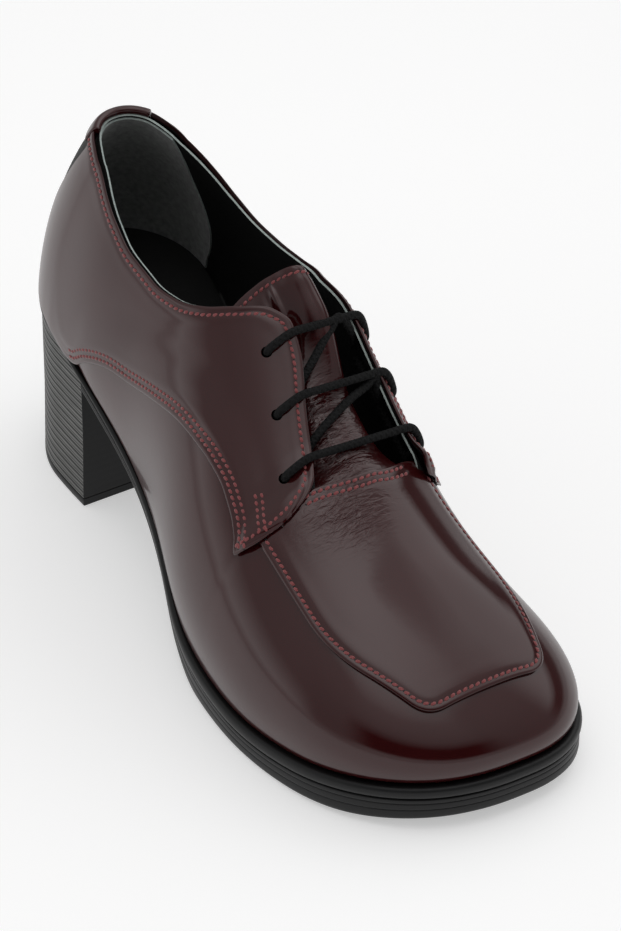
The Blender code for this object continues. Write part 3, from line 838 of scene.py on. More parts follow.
def new_material(name: str) -> tuple[Material, Nodes, bpy.types.Node]:
    """Start a material: itself, its node tree and its shader."""
    material = bpy.data.materials.new(name)
    material.use_nodes = True
    return material, material.node_tree, material.node_tree.nodes["Principled BSDF"]


def cycles_per_metre(size: float) -> float:
    """Texture scale that repeats about every `size` millimetres."""
    return 1.0 / (size * MM)


def bands_per_metre(size: float) -> float:
    """Wave texture scale whose bands repeat every `size` millimetres: 20 of them in tau at scale one."""
    return cycles_per_metre(size) * math.tau / 20.0


@dataclass(frozen=True)
class Finish:
    """A finish: two colours mixed by a pattern, and the other inputs of its shader."""

    name: str
    dark: str
    light: str

    def recipe(self, tree: Nodes) -> tuple[Socket, dict[str, Any]]:
        """Add this finish's own nodes.

        Args:
            tree: The material's nodes.

        Returns:
            The share of the light colour, and values or outputs for the shader's inputs.
        """
        raise NotImplementedError

    def material(self) -> Material:
        """Make the material."""
        material, tree, shader = new_material(self.name)
        share, inputs = self.recipe(tree)
        colors = {"Factor": share, "A": linear(self.dark), "B": linear(self.light)}
        inputs["Base Color"] = add_node(tree, "Mix", colors, data_type="RGBA")
        fill(shader, inputs)
        return material


@dataclass(frozen=True)
class PatentLeather(Finish):
    """Patent calf: dyed leather under a poured varnish, so deep colour under a mirror-like coat."""

    name: str = "burgundy_patent_leather"
    dark: str = "#2a090a"
    light: str = "#330c0d"
    tint: str = "#ff8f8f"
    mottle: float = 22.0
    ripple: float = 2.6
    wrinkle: float = 1.3
    stretch: tuple[float, float, float] = (0.3, 1.0, 0.6)
    toned_facing: Span = (0.35, 0.85)
    toned_weight: float = 0.35

    def recipe(self, tree: Nodes) -> tuple[Socket, dict[str, Any]]:
        """Varnish with a faint ripple, toned down edge on, and fine wrinkles where the leather flexes.

        Args:
            tree: The material's nodes.

        Returns:
            The share of the light colour, and values or outputs for the shader's inputs.
        """
        place = add_node(tree, "TexCoord", output="Object")
        size = cycles_per_metre(self.mottle)
        clouds = add_node(tree, "TexNoise", {"Vector": place, "Scale": size, "Detail": 3.0})
        size = cycles_per_metre(self.ripple)
        ripple = add_node(tree, "TexNoise", {"Vector": place, "Scale": size, "Detail": 1.0})
        level = add_node(tree, "Bump", {"Height": ripple, "Strength": 0.05, "Distance": 0.2 * MM})
        facing = add_node(tree, "LayerWeight", {"Blend": 0.5}, "Facing")
        start, end = self.toned_facing
        ends = {"From Min": start, "From Max": end, "To Min": 1.0, "To Max": self.toned_weight}
        gloss = add_node(tree, "MapRange", {"Value": facing, **ends})
        stretched = add_node(tree, "Mapping", {"Vector": place, "Scale": self.stretch})
        size = cycles_per_metre(self.wrinkle)
        lines = add_node(
            tree, "TexNoise", {"Vector": stretched, "Scale": size, "Detail": 3.0, "Distortion": 0.6}
        )
        flexed = add_node(tree, "Attribute", output="Fac", attribute_name="flex")
        wrinkles = add_node(tree, "Math", {0: lines, 1: flexed}, operation="MULTIPLY")
        worn = add_node(
            tree, "Bump", {"Height": wrinkles, "Normal": level, "Strength": 1.0, "Distance": 0.8 * MM}
        )
        # The coat is at full weight where a reader of this material leaves out the link
        tree.nodes["Principled BSDF"].inputs["Coat Weight"].default_value = 1.0
        return clouds, {
            "Roughness": 0.3,
            "Specular IOR Level": 0.1,
            "Specular Tint": linear(self.tint),
            "Coat Weight": gloss,
            "Coat Roughness": 0.07,
            "Coat IOR": 1.5,
            "Normal": worn,
            "Coat Normal": worn,
        }


@dataclass(frozen=True)
class GrainedMatte(Finish):
    """A matte finish with a fine grain: cut and folded edges, lining leather, suede and insole cloth."""

    grain: float
    roughness: float
    depth: float = 0.12
    sheen: float = 0.0

    def recipe(self, tree: Nodes) -> tuple[Socket, dict[str, Any]]:
        """Mottled colour with a grain of a real size.

        Args:
            tree: The material's nodes.

        Returns:
            The share of the light colour, and values or outputs for the shader's inputs.
        """
        place = add_node(tree, "TexCoord", output="Object")
        size = cycles_per_metre(self.grain)
        noise = add_node(tree, "TexNoise", {"Vector": place, "Scale": size, "Detail": 5.0, "Roughness": 0.6})
        bump = add_node(tree, "Bump", {"Height": noise, "Strength": 0.5, "Distance": self.depth * MM})
        return noise, {"Roughness": self.roughness, "IOR": 1.45, "Sheen Weight": self.sheen, "Normal": bump}


@dataclass(frozen=True)
class MouldedRubber(Finish):
    """Moulded black rubber: satin, with the faint grain of the mould."""

    name: str = "moulded_black_rubber"
    dark: str = "#0c0c0d"
    light: str = "#131314"
    grain: float = 0.9
    patch: float = 14.0
    gloss: Span = (0.36, 0.5)

    def recipe(self, tree: Nodes) -> tuple[Socket, dict[str, Any]]:
        """Satin black, a little uneven in gloss.

        Args:
            tree: The material's nodes.

        Returns:
            The share of the light colour, and values or outputs for the shader's inputs.
        """
        place = add_node(tree, "TexCoord", output="Object")
        size = cycles_per_metre(self.grain)
        fine = add_node(tree, "TexNoise", {"Vector": place, "Scale": size, "Detail": 3.0})
        size = cycles_per_metre(self.patch)
        broad = add_node(tree, "TexNoise", {"Vector": place, "Scale": size, "Detail": 2.0})
        low, high = self.gloss
        rough = add_node(tree, "MapRange", {"Value": broad, "To Min": low, "To Max": high})
        bump = add_node(tree, "Bump", {"Height": fine, "Strength": 0.25, "Distance": 0.1 * MM})
        return broad, {"IOR": 1.5, "Specular IOR Level": 0.3, "Roughness": rough, "Normal": bump}


@dataclass(frozen=True)
class StackedHeel(Finish):
    """Heel cover printed and scored as stacked leather: dark layers with paler scuffed edges."""

    name: str = "stacked_heel_cover"
    dark: str = "#1d1d1c"
    light: str = "#7c7c79"
    layer: float = 1.3
    streak: float = 1.2
    stretch: tuple[float, float, float] = (0.12, 0.12, 1.0)

    def recipe(self, tree: Nodes) -> tuple[Socket, dict[str, Any]]:
        """Layers of uneven darkness with fine streaks along them.

        Args:
            tree: The material's nodes.

        Returns:
            The share of the light colour, and values or outputs for the shader's inputs.
        """
        place = add_node(tree, "TexCoord", output="Object")
        squash = add_node(tree, "Mapping", {"Vector": place, "Scale": self.stretch})
        size = cycles_per_metre(self.streak)
        streaks = add_node(tree, "TexNoise", {"Vector": squash, "Scale": size, "Detail": 4.0})
        waves = {"Vector": place, "Scale": bands_per_metre(self.layer), "Distortion": 0.6, "Detail": 1.0}
        layers = add_node(tree, "TexWave", waves, "Fac", bands_direction="Z")
        mixed = add_node(tree, "Math", {0: streaks, 1: layers}, operation="MULTIPLY")
        bump = add_node(tree, "Bump", {"Height": mixed, "Strength": 0.7, "Distance": 0.25 * MM})
        return mixed, {"Roughness": 0.5, "IOR": 1.48, "Normal": bump}


@dataclass(frozen=True)
class WovenCord(Finish):
    """Round braided cotton lace: matte black, with the slanting rows of the braid."""

    name: str = "braided_cotton_lace"
    dark: str = "#030303"
    light: str = "#0f0f10"
    pitch: float = 1.5
    slant: float = 35.0

    def recipe(self, tree: Nodes) -> tuple[Socket, dict[str, Any]]:
        """Two sets of slanting strands on the cord's own UV map, drawn a little coarse so that they show.

        Args:
            tree: The material's nodes.

        Returns:
            The share of the light colour, and values or outputs for the shader's inputs.
        """
        uv = add_node(tree, "TexCoord", output="UV")
        strands = {}
        for k, slant in enumerate((self.slant, -self.slant)):
            turned = add_node(tree, "Mapping", {"Vector": uv, "Rotation": (0.0, 0.0, math.radians(slant))})
            waves = {"Vector": turned, "Scale": bands_per_metre(self.pitch)}
            strands[k] = add_node(tree, "TexWave", waves, "Fac", bands_direction="Y")
        braid = add_node(tree, "Math", strands, operation="MAXIMUM")
        bump = add_node(tree, "Bump", {"Height": braid, "Strength": 0.8, "Distance": 0.3 * MM})
        return braid, {"Roughness": 0.8, "Specular IOR Level": 0.25, "Normal": bump}


@dataclass(frozen=True)
class Thread(Finish):
    """Bonded polyester thread in rose red, faintly twisted."""

    name: str = "rose_red_thread"
    dark: str = "#6a2226"
    light: str = "#964848"
    twist: float = 0.35

    def recipe(self, tree: Nodes) -> tuple[Socket, dict[str, Any]]:
        """Rose red with a fine twist.

        Args:
            tree: The material's nodes.

        Returns:
            The share of the light colour, and values for the shader's inputs.
        """
        place = add_node(tree, "TexCoord", output="Object")
        size = cycles_per_metre(self.twist)
        fibre = add_node(tree, "TexNoise", {"Vector": place, "Scale": size, "Detail": 2.0})
        return fibre, {"Roughness": 0.6, "IOR": 1.5, "Sheen Weight": 0.3}


@dataclass(frozen=True)
class Finishes:
    """Every finish on the shoe, made once."""

    patent: Material
    edge: Material
    red_edge: Material
    lining: Material
    suede: Material
    pale_edge: Material
    insole: Material
    rubber: Material
    stack: Material
    lace: Material
    thread: Material

    @classmethod
    def make(cls) -> "Finishes":
        """Build the materials."""
        return cls(
            patent=PatentLeather().material(),
            edge=GrainedMatte("painted_black_edge", "#0b0a0a", "#171414", 0.8, 0.45).material(),
            red_edge=GrainedMatte("folded_burgundy_edge", "#1d0809", "#331416", 0.9, 0.3).material(),
            lining=GrainedMatte("black_lining_leather", "#0a0a0a", "#161616", 0.7, 0.7).material(),
            suede=GrainedMatte("grey_heel_suede", "#1c1d1d", "#a2a5a3", 1.7, 0.95, 0.3, 0.5).material(),
            pale_edge=GrainedMatte("pale_cut_lining_edge", "#76837f", "#c8d2ce", 1.4, 0.85).material(),
            insole=GrainedMatte("black_insole_cloth", "#0b0b0b", "#1c1c1c", 0.5, 0.9).material(),
            rubber=MouldedRubber().material(),
            stack=StackedHeel().material(),
            lace=WovenCord().material(),
            thread=Thread().material(),
        )


@dataclass
class Pattern:
    """The cutting pattern: where the panels' edges run on the last."""

    last: Last
    throat_turn: float = 1.796
    seam_turn: float = 1.7925
    vamp_point: float = 1.751
    corner_turn: float = 1.74
    back_edge_turn: float = 0.26
    back_edge_lean: float = 0.72
    strip_turn: float = 0.565
    strip_rises: Span = (0.595, 0.615)
    lap_rises: Span = (0.05, 0.17)
    single_start: Span = (0.95, 1.25)
    single_end: Span = (1.70, 1.76)
    seat_share: float = 0.7
    seat_rises: Span = (0.05, 0.35)
    seat_turns: Span = (0.9, 1.1)

    def __post_init__(self) -> None:
        """Turn the edge tables into curves."""
        self.top_edge = TOP_CURVES
        self.corner = side_curves(QUARTER_CORNER)
        self.tongue = side_curves(TONGUE_EDGE)
        self.low_edge = even_curve(QUARTER_LOW["turn"], QUARTER_LOW["rise"])
        self.front = float(QUARTER_LOW["turn"][-1])

    def top(self, turn: float, side: Side) -> float:
        """Rise of the upper's free edge at one turn."""
        return float(self.top_edge[side](turn))

    def quarter_top(self, turn: Any, side: Side) -> Array:
        """The quarter's upper edge: collar and throat, then round the front corner."""
        past = np.asarray(turn) > self.corner_turn
        return np.where(past, self.corner[side](turn), self.top_edge[side](turn))

    def single(self, turn: Any, rise: Any) -> Array:
        """How close the wall sits to the foot: 1 where it is one layer, less by the heel seat, 0 on a lap."""
        past_lap = ease(np.asarray(rise, float) - self.low_edge(turn), *self.lap_rises)
        seat = self.seat_share * fade(rise, *self.seat_rises) * fade(turn, *self.seat_turns)
        return np.maximum(past_lap * ease(turn, *self.single_start) * fade(turn, *self.single_end), seat)

    def quarter_back(self, rise: Any) -> Array:
        """Turn of the quarter's back edge, which runs on as a narrow strip under the collar's rim."""
        edge = self.back_edge_turn + self.back_edge_lean * np.asarray(rise, float)
        return edge + (self.strip_turn - edge) * ease(rise, *self.strip_rises)

    def ring(self, heel: int, side: int, toe: int) -> Array:
        """Turns of one side from the heel seam to the toe tip."""
        return np.r_[
            np.linspace(0.0, 1.0, heel + 1)[:-1],
            np.linspace(1.0, self.throat_turn, side + 1)[:-1],
            np.linspace(self.throat_turn, 2.0, side // 4 + 1)[:-1],
            np.linspace(2.0, 3.0, toe + 1),
        ]

    def heel_columns(self, count: int, front: Curve, low: float, reach: float, drop: float) -> list[Column]:
        """Columns from the inner side round the heel to the outer side.

        Args:
            count: How many columns.
            front: Turn of the last column on either side, by rise; the others lie at shares of it.
            low: Rise of their lower ends.
            reach: Turn of the last column at the collar.
            drop: How far their upper ends lie below the collar.

        Returns:
            The columns.
        """
        columns = []
        for signed in np.linspace(-1.0, 1.0, count):
            side = Side.LATERAL if signed > 0 else Side.MEDIAL
            share = abs(signed)
            high = self.top(reach * share, side) - drop
            columns.append(Column(side, lambda rise, share=share: share * front(rise), low, high))
        return columns


@dataclass
class Crest:
    """A smooth height field over the top of the foot, sounded on the last by plumb lines."""

    last: Last
    step: float = 2.5
    turns: Span = (1.36, 3.0)
    above: float = 500.0
    probe: float = 0.2

    def __post_init__(self) -> None:
        """Drop a grid of plumb lines on the last."""
        turn, rise = np.meshgrid(np.linspace(*self.turns, 170), np.linspace(0.0, 1.0, 100), indexing="ij")
        ids = np.arange(turn.size).reshape(turn.shape)
        quads = np.stack([ids[:-1, :-1], ids[1:, :-1], ids[1:, 1:], ids[:-1, 1:]], -1).reshape(-1, 4)
        points = np.concatenate([self.last.point(turn, rise, side).reshape(-1, 3) for side in Side])
        surface = BVHTree.FromPolygons(points.tolist(), np.concatenate([quads, quads + turn.size]).tolist())
        self.low = points.min(0)[:2] - 2 * self.step
        counts = np.ceil((points.max(0)[:2] - self.low) / self.step).astype(int) + 3
        self.heights = np.full(counts, np.nan)
        for i, j in np.ndindex(*counts):
            x, y = self.low + self.step * np.array((i, j))
            hit = surface.ray_cast(Vector((x, y, self.above)), Vector((0.0, 0.0, -1.0)))[0]
            if hit is not None:
                self.heights[i, j] = hit.z
        while np.isnan(self.heights).any():
            self.spread()

    def spread(self) -> None:
        """Carry the known heights one step outwards."""
        wide = np.pad(self.heights, 1, constant_values=np.nan)
        rows, columns = self.heights.shape
        around = np.stack([wide[i : i + rows, j : j + columns] for i in range(3) for j in range(3)])
        known = np.sum(~np.isnan(around), 0)
        open_spots = np.isnan(self.heights) & (known > 0)
        self.heights[open_spots] = (np.nansum(around, 0) / np.maximum(known, 1))[open_spots]

    def height(self, x: Array, y: Array) -> Array:
        """Height over plan places, in millimetres, as a cubic B-spline of the soundings."""
        total = np.zeros(np.shape(x))
        cells, weights = [], []
        for place, low in ((x, self.low[0]), (y, self.low[1])):
            spot = (np.asarray(place, float) - low) / self.step
            corner = np.floor(spot).astype(int)
            f = spot - corner
            near = 3 * f**3 - 6 * f**2 + 4
            far = -3 * f**3 + 3 * f**2 + 3 * f + 1
            cells.append(corner - 1)
            weights.append([part / 6.0 for part in ((1 - f) ** 3, near, far, f**3)])
        rows, columns = self.heights.shape
        for a, b in np.ndindex(4, 4):
            i = np.clip(cells[0] + a, 0, rows - 1)
            j = np.clip(cells[1] + b, 0, columns - 1)
            total = total + weights[0][a] * weights[1][b] * self.heights[i, j]
        return total

    def normal(self, x: Array, y: Array) -> Array:
        """Unit normals over plan places."""
        by_x = (self.height(x + self.probe, y) - self.height(x - self.probe, y)) / (2 * self.probe)
        by_y = (self.height(x, y + self.probe) - self.height(x, y - self.probe)) / (2 * self.probe)
        return unit(np.stack([-by_x, -by_y, np.ones_like(by_x)], -1))

    def lift(self, x: Array, y: Array, offset: Any) -> Array:
        """Points at an offset from the field."""
        base = np.stack([x, y, self.height(x, y)], -1)
        return base + self.normal(x, y) * np.asarray(offset, float)[..., None]

    def folds(self, x: Array, y: Array, creases: Sequence[Crease]) -> Array:
        """How far creases lift the field over plan places, in millimetres."""
        return pressed(self.lift(x, y, np.zeros_like(x)), creases, self.last)


@dataclass
class Stitching:
    """Rows of lockstitch, with a dark blob of painted shade in each needle hole, all in one mesh."""

    pitch: float = 2.1
    length: float = 2.05
    width: float = 1.05
    height: float = 0.78
    slant: float = 18.0
    raised: float = 0.08
    end_dip: float = 0.5
    probe: float = 0.4
    # Size of the dark blob of painted shade that sits in each needle hole
    hole: tuple[float, float, float] = (0.5, 0.8, 0.3)
    threads: list[Array] = field(default_factory=list)
    hole_shades: list[Array] = field(default_factory=list)

    def frames(self, points: Array, normals: Array, places: Array, slant: float) -> Array:
        """Where things stand along a row.

        Args:
            points: Points of the row.
            normals: The surface's normals there.
            places: Lengths along the row.
            slant: Degrees that things are turned from the row.

        Returns:
            For each place its spot, its way, its side and its up, as rows of three.
        """
        run = lengths(points)

        def at(values: Array, shift: float = 0.0) -> Array:
            """Values at the places."""
            return np.stack([np.interp(places + shift, run, values[:, k]) for k in range(3)], -1)

        up = unit(at(normals))
        way = unit(at(points, self.probe) - at(points, -self.probe))
        angle = math.radians(slant)
        way = unit(math.cos(angle) * way + math.sin(angle) * np.cross(up, way))
        return np.stack([at(points), way, np.cross(up, way), up], 1)

    def row(self, points: Array, normals: Array) -> None:
        """Sew along a line.

        Args:
            points: Points on the leather's surface, in millimetres.
            normals: The surface's normals there.
        """
        run = lengths(points)[-1]
        count = max(2, int(round(run / self.pitch)))
        self.threads.append(self.frames(points, normals, (np.arange(count) + 0.5) * run / count, self.slant))
        self.hole_shades.append(self.frames(points, normals, np.arange(count + 1) * run / count, 0.0))

    @staticmethod
    def copies(frames: Array, shape: Array) -> Array:
        """A small shape (along, across, up) set at every frame."""
        return frames[:, None, 0] + np.einsum("nk,mkc->mnc", shape, frames[:, 1:])

    def build(self, thread: Material, dark: Material) -> Piece:
        """Model one stitch and one dark blob that paints the shade of a needle hole, and copy them to every
        place.

        Args:
            thread: The thread's material.
            dark: The material of the painted shade in each needle hole.

        Returns:
            The mesh of all stitches.
        """
        Bench.deselect()
        bpy.ops.mesh.primitive_uv_sphere_add(segments=6, ring_count=5, radius=0.5)
        model = bpy.context.object
        ball = np.array([tuple(v.co) for v in model.data.vertices])[:, (2, 0, 1)]
        faces = [tuple(face.vertices) for face in model.data.polygons]
        bpy.data.objects.remove(model, do_unlink=True)
        stitch = ball * (self.length, self.width, self.height)
        stitch[:, 2] += self.raised - self.end_dip * (2 * ball[:, 0]) ** 4 * self.height
        threads = self.copies(np.concatenate(self.threads), stitch)
        # Painted shade: a dark blob sits in each needle hole, between the stitches
        hole_shades = self.copies(np.concatenate(self.hole_shades), ball * self.hole)
        points = np.concatenate([threads, hole_shades])
        rings = [tuple(k * len(ball) + n for n in face) for k in range(len(points)) for face in faces]
        mesh = bpy.data.meshes.new("stitching")
        mesh.from_pydata((points.reshape(-1, 3) * MM).tolist(), [], rings)
        piece = bpy.data.objects.new("stitching", mesh)
        bpy.context.scene.collection.objects.link(piece)
        Bench.dress(piece, [thread, dark])
        finish = np.zeros(len(rings), int)
        finish[len(threads) * len(faces) :] = 1
        mesh.polygons.foreach_set("material_index", finish)
        Bench.complete(piece, Slot.PATENT)
        return piece


@dataclass
class Vamp:
    """The vamp: the outer leather round the toe, from quarter to quarter, turned under at its foot."""

    pattern: Pattern
    finishes: Finishes
    thickness: float = 0.8
    tuck: float = 0.03
    lap: float = 0.05
    start: float = 1.05
    lap_end: Span = (1.735, 1.77)
    curl: float = 1.3
    curl_reach: float = 1.0
    heel_sink: float = 0.95
    heel_turns: Span = (1.02, 1.16)
    lasted_drop: float = 0.5

    def top(self, turn: float, side: Side) -> float:
        """Upper edge, hidden under the quarter and apron."""
        low = float(self.pattern.low_edge(turn)) + self.lap
        high = self.pattern.top(turn, side) - self.tuck
        return low + (high - low) * float(ease(turn, *self.lap_end))

    def offset(self, turn: Array, rise: Array, from_low: Array, from_high: Array) -> Array:
        """Outer face off the last: curled in at the lasting edge, low beside the heel."""
        curl = -self.curl * np.clip(1.0 - from_low / self.curl_reach, 0.0, 1.0) ** 2
        return curl - self.heel_sink * fade(turn, *self.heel_turns)

    def build(self) -> Piece:
        """Loft the leather round the toe."""
        ring = self.pattern.ring(28, 80, 56)
        turns = np.r_[self.start, ring[ring > self.start + 0.004]]
        columns = [Column(side, turn, 0.0, self.top(turn, side)) for turn, side in round_toe(turns)]
        plan = RowPlan((0.0, 0.5, 1.2, 2.2), 34, (0.0, 1.0))
        points = self.pattern.last.drape(columns, plan, self.offset)
        points[:, 0, 2] -= self.lasted_drop
        looks = self.finishes
        return Bench.panel("vamp", points, self.thickness, [looks.patent, looks.edge, looks.lining])


@dataclass
class Lining:
    """The lining inside the vamp, with a suede grip round the heel."""

    pattern: Pattern
    finishes: Finishes
    depth: float = 0.95
    thickness: float = 0.6
    grip_gap: float = 0.05
    grip_thickness: float = 0.6
    grip_low: float = 0.04
    grip_drop: float = 0.012
    grip_reach: float = 0.9

    def build(self) -> list[Piece]:
        """Loft lining and grip."""
        return [self.ring(), self.grip()]

    def ring(self) -> Piece:
        """The black lining all round."""
        pattern, looks = self.pattern, self.finishes
        turns = pattern.ring(20, 60, 30)
        columns = [Column(side, turn, 0.0, pattern.top(turn, side)) for turn, side in round_heel(turns)]
        plan = RowPlan((0.0,), 20, (0.0, 0.3, 1.0))
        points = pattern.last.drape(columns, plan, lambda *_: -self.depth)
        materials = [looks.lining, looks.pale_edge, looks.lining]
        return Bench.panel("lining", points, self.thickness, materials, weld=True)

    def grip(self) -> Piece:
        """The grey suede heel grip, sewn in over the lining."""
        pattern, looks = self.pattern, self.finishes
        front = even_curve(np.array([0.0, 0.25, 0.45, 0.62]), np.array([0.97, 1.03, 0.99, 0.90]))
        columns = pattern.heel_columns(65, front, self.grip_low, self.grip_reach, self.grip_drop)
        depth = -self.depth - self.thickness - self.grip_gap
        points = pattern.last.drape(columns, RowPlan((0.0,), 24, (0.0, 0.4)), lambda *_: depth)
        materials = [looks.suede, looks.pale_edge, looks.suede]
        return Bench.panel("heel_grip", points, self.grip_thickness, materials)


@dataclass
class CollarTab:
    """The short tab rolled over the collar at the heel."""

    pattern: Pattern
    finishes: Finishes
    turn: float = 0.55
    outside: float = 0.055
    inside: float = 0.006

    def section(self) -> Array:
        """The rolled section: rises from the collar's edge, and millimetres off the last."""
        return np.array(
            [
                (-self.outside, 0.4),
                (-self.outside, 1.4),
                (-self.outside + 0.004, 1.8),
                (-0.03, 1.95), (0.002, 1.9), (0.013, 1.5), (0.019, 0.5), (0.016, -0.5), (0.007, -0.95),
                (-self.inside, -0.9),
                (-self.inside, -0.6),
                (0.001, -0.3), (0.001, 0.3),
                (-self.outside, 0.4),
            ]
        )

    def build(self) -> Piece:
        """Sweep the rolled section round the collar and close its ends."""
        section = self.section()
        columns = []
        for signed in np.linspace(self.turn, -self.turn, 61):
            side = Side.LATERAL if signed > 0 else Side.MEDIAL
            turn = np.full(len(section), abs(signed))
            rise = self.pattern.top_edge[side](turn) + section[:, 0]
            columns.append(self.pattern.last.skin(turn, rise, side, section[:, 1]))
        points = np.array(columns)
        middle = points[:, :-1].mean(1, keepdims=True)
        start, end = (np.repeat(middle[k : k + 1], points.shape[1], 1) for k in (0, len(points) - 1))
        points = np.concatenate([start, points, end])
        piece = Bench.sheet("collar_tab_roll", points, [self.finishes.patent], weld=True)
        Bench.modify(piece, "SUBSURF", levels=1, render_levels=1)
        return piece


@dataclass
class Backstay:
    """The black strip over the heel seam, between the quarters."""

    pattern: Pattern
    finishes: Finishes
    offset: float = 1.0
    thickness: float = 0.85
    overlap: float = 0.01
    collar_reach: float = 0.4
    under_tab: float = 0.012

    def build(self) -> Piece:
        """Lay the wedge from quarter to quarter."""
        pattern, looks = self.pattern, self.finishes

        def front(rise: Any) -> Array:
            """Turn of the strip's edge, just under the quarter's."""
            return pattern.quarter_back(rise) + self.overlap

        drop = CollarTab.outside - self.under_tab
        columns = pattern.heel_columns(33, front, 0.0, self.collar_reach, drop)
        plan = RowPlan((0.0, 0.4), 26, (0.0, 0.4))
        points = pattern.last.drape(columns, plan, lambda *_: self.offset)
        return Bench.panel("backstay_strip", points, self.thickness, [looks.lining, looks.edge, looks.lining])


@dataclass
class Quarter:
    """One quarter with its facing, laid over the vamp and, at its front, over the apron."""

    pattern: Pattern
    finishes: Finishes
    side: Side
    base: float = 0.08
    thickness: float = 1.35
    under_gap: float = 0.05
    sink: float = 0.9
    front_lift: float = 1.25
    lift_turns: Span = (1.73, 1.765)
    fine_turn: float = 1.70
    back_rise: float = 0.62
    tab_gap: Span = (0.01, 0.004)
    seam_start: Span = (1.03, 1.09)
    seam_rows: Span = (2.2, 4.3)
    edge_row: float = 2.5
    eyelet_radius: float = 1.7
    bar_turns: Span = (1.711, 1.772)
    bar_rises: Span = (0.613, 0.582)
    bar_gap: float = 0.021

    def creases(self) -> list[Crease]:
        """Soft folds under the collar's dip."""
        side = self.side
        return [
            Crease(1.32, 0.42, side, 64.0, 30.0, 9.0, -0.14),
            Crease(1.38, 0.44, side, 62.0, 32.0, 8.0, 0.14),
            Crease(1.44, 0.48, side, 58.0, 28.0, 8.0, -0.10),
        ]

    def surface(self, turn: Array, rise: Array) -> Array:
        """Outer face off the last, without seams: close to the foot, up over the apron's back corner."""
        step = (0.45, 0.53) if self.side is Side.LATERAL else (0.56, 0.63)
        over_apron = self.front_lift * ease(turn, *self.lift_turns) * ease(rise, *step)
        return self.base + over_apron - self.sink * self.pattern.single(turn, rise) + self.thickness

    def folds(self, turn: Array, rise: Array) -> Array:
        """How far the creases lift the face, in millimetres."""
        last = self.pattern.last
        return pressed(last.point(turn, rise, self.side), self.creases(), last)

    def relief(self, turn: Array, rise: Array, from_low: Array, from_high: Array) -> Array:
        """Outer face off the last, with its sewn edges and creases."""
        seam = sewn_edge(from_low, self.seam_rows) * ease(turn, *self.seam_start)
        edge = sewn_edge(from_high, (self.edge_row,))
        return self.surface(turn, rise) + seam + edge + self.folds(turn, rise)

    def columns(self) -> list[Column]:
        """Columns from the slanting back edge to the front, where they stand upright."""
        pattern, side = self.pattern, self.side
        columns = []
        for share in np.linspace(0.0, 1.0, 22)[:-1]:

            def lean(rise: Any, share: float = share) -> Array:
                """Turn of this column at each rise, from the back edge forward."""
                back = pattern.quarter_back(rise)
                return back + (1.0 - back) * share

            turn = float(lean(self.back_rise))
            top = pattern.top(turn, side)
            if turn < CollarTab.turn + self.tab_gap[0]:
                top -= CollarTab.outside + self.tab_gap[1]
            columns.append(Column(side, lean, 0.0, top))
        fine = self.fine_turn
        for turn in np.r_[np.linspace(1.0, fine, 96)[:-1], np.linspace(fine, pattern.front, 44)]:
            low, high = float(pattern.low_edge(turn)), float(pattern.quarter_top(turn, side))
            columns.append(Column(side, turn, low, high))
        return columns

    def build(self) -> Piece:
        """Lay the panel and thicken it."""
        looks = self.finishes
        points = self.pattern.last.drape(self.columns(), RowPlan(SEWN, 30, SEWN), self.relief)
        if self.side is Side.MEDIAL:
            points = points[::-1]
        materials = [looks.patent, looks.red_edge, looks.lining]
        return Bench.panel("quarter_" + self.side.column, points, self.thickness - self.under_gap, materials)

    def sew(self, stitching: Stitching) -> None:
        """Sew the double lower seam, the edge row and the short bar on the facing."""
        pattern, side, last = self.pattern, self.side, self.pattern.last
        turn = np.linspace(1.085, pattern.vamp_point - 0.006, 220)
        rise = pattern.low_edge(turn)
        for row in self.seam_rows:
            self.sew_line(stitching, *last.shift(turn, rise, side, -side.value * row))
        corner = pattern.corner_turn
        collar = np.linspace(CollarTab.turn + 0.03, corner, 260)
        upper = np.r_[collar, np.linspace(corner + 0.002, pattern.front, 40)]
        lower = np.linspace(pattern.front, pattern.vamp_point + 0.004, 40)[1:]
        turn = np.r_[upper, lower]
        rise = np.r_[pattern.quarter_top(upper, side), pattern.low_edge(lower)]
        self.sew_line(stitching, *last.shift(turn, rise, side, side.value * self.edge_row))
        lower_by = 0.0 if side is Side.LATERAL else 0.04
        for more in (0.0, self.bar_gap):
            turn = np.linspace(*self.bar_turns, 20) + more / 3
            self.sew_line(stitching, turn, np.linspace(*self.bar_rises, 20) + more - lower_by)

    def sew_line(self, stitching: Stitching, turn: Array, rise: Array) -> None:
        """Sew along turns and rises on this quarter's face."""
        last = self.pattern.last
        face = self.surface(turn, rise) + self.folds(turn, rise) - THREAD_DIP
        stitching.row(last.skin(turn, rise, self.side, face), last.normal(turn, rise, self.side))


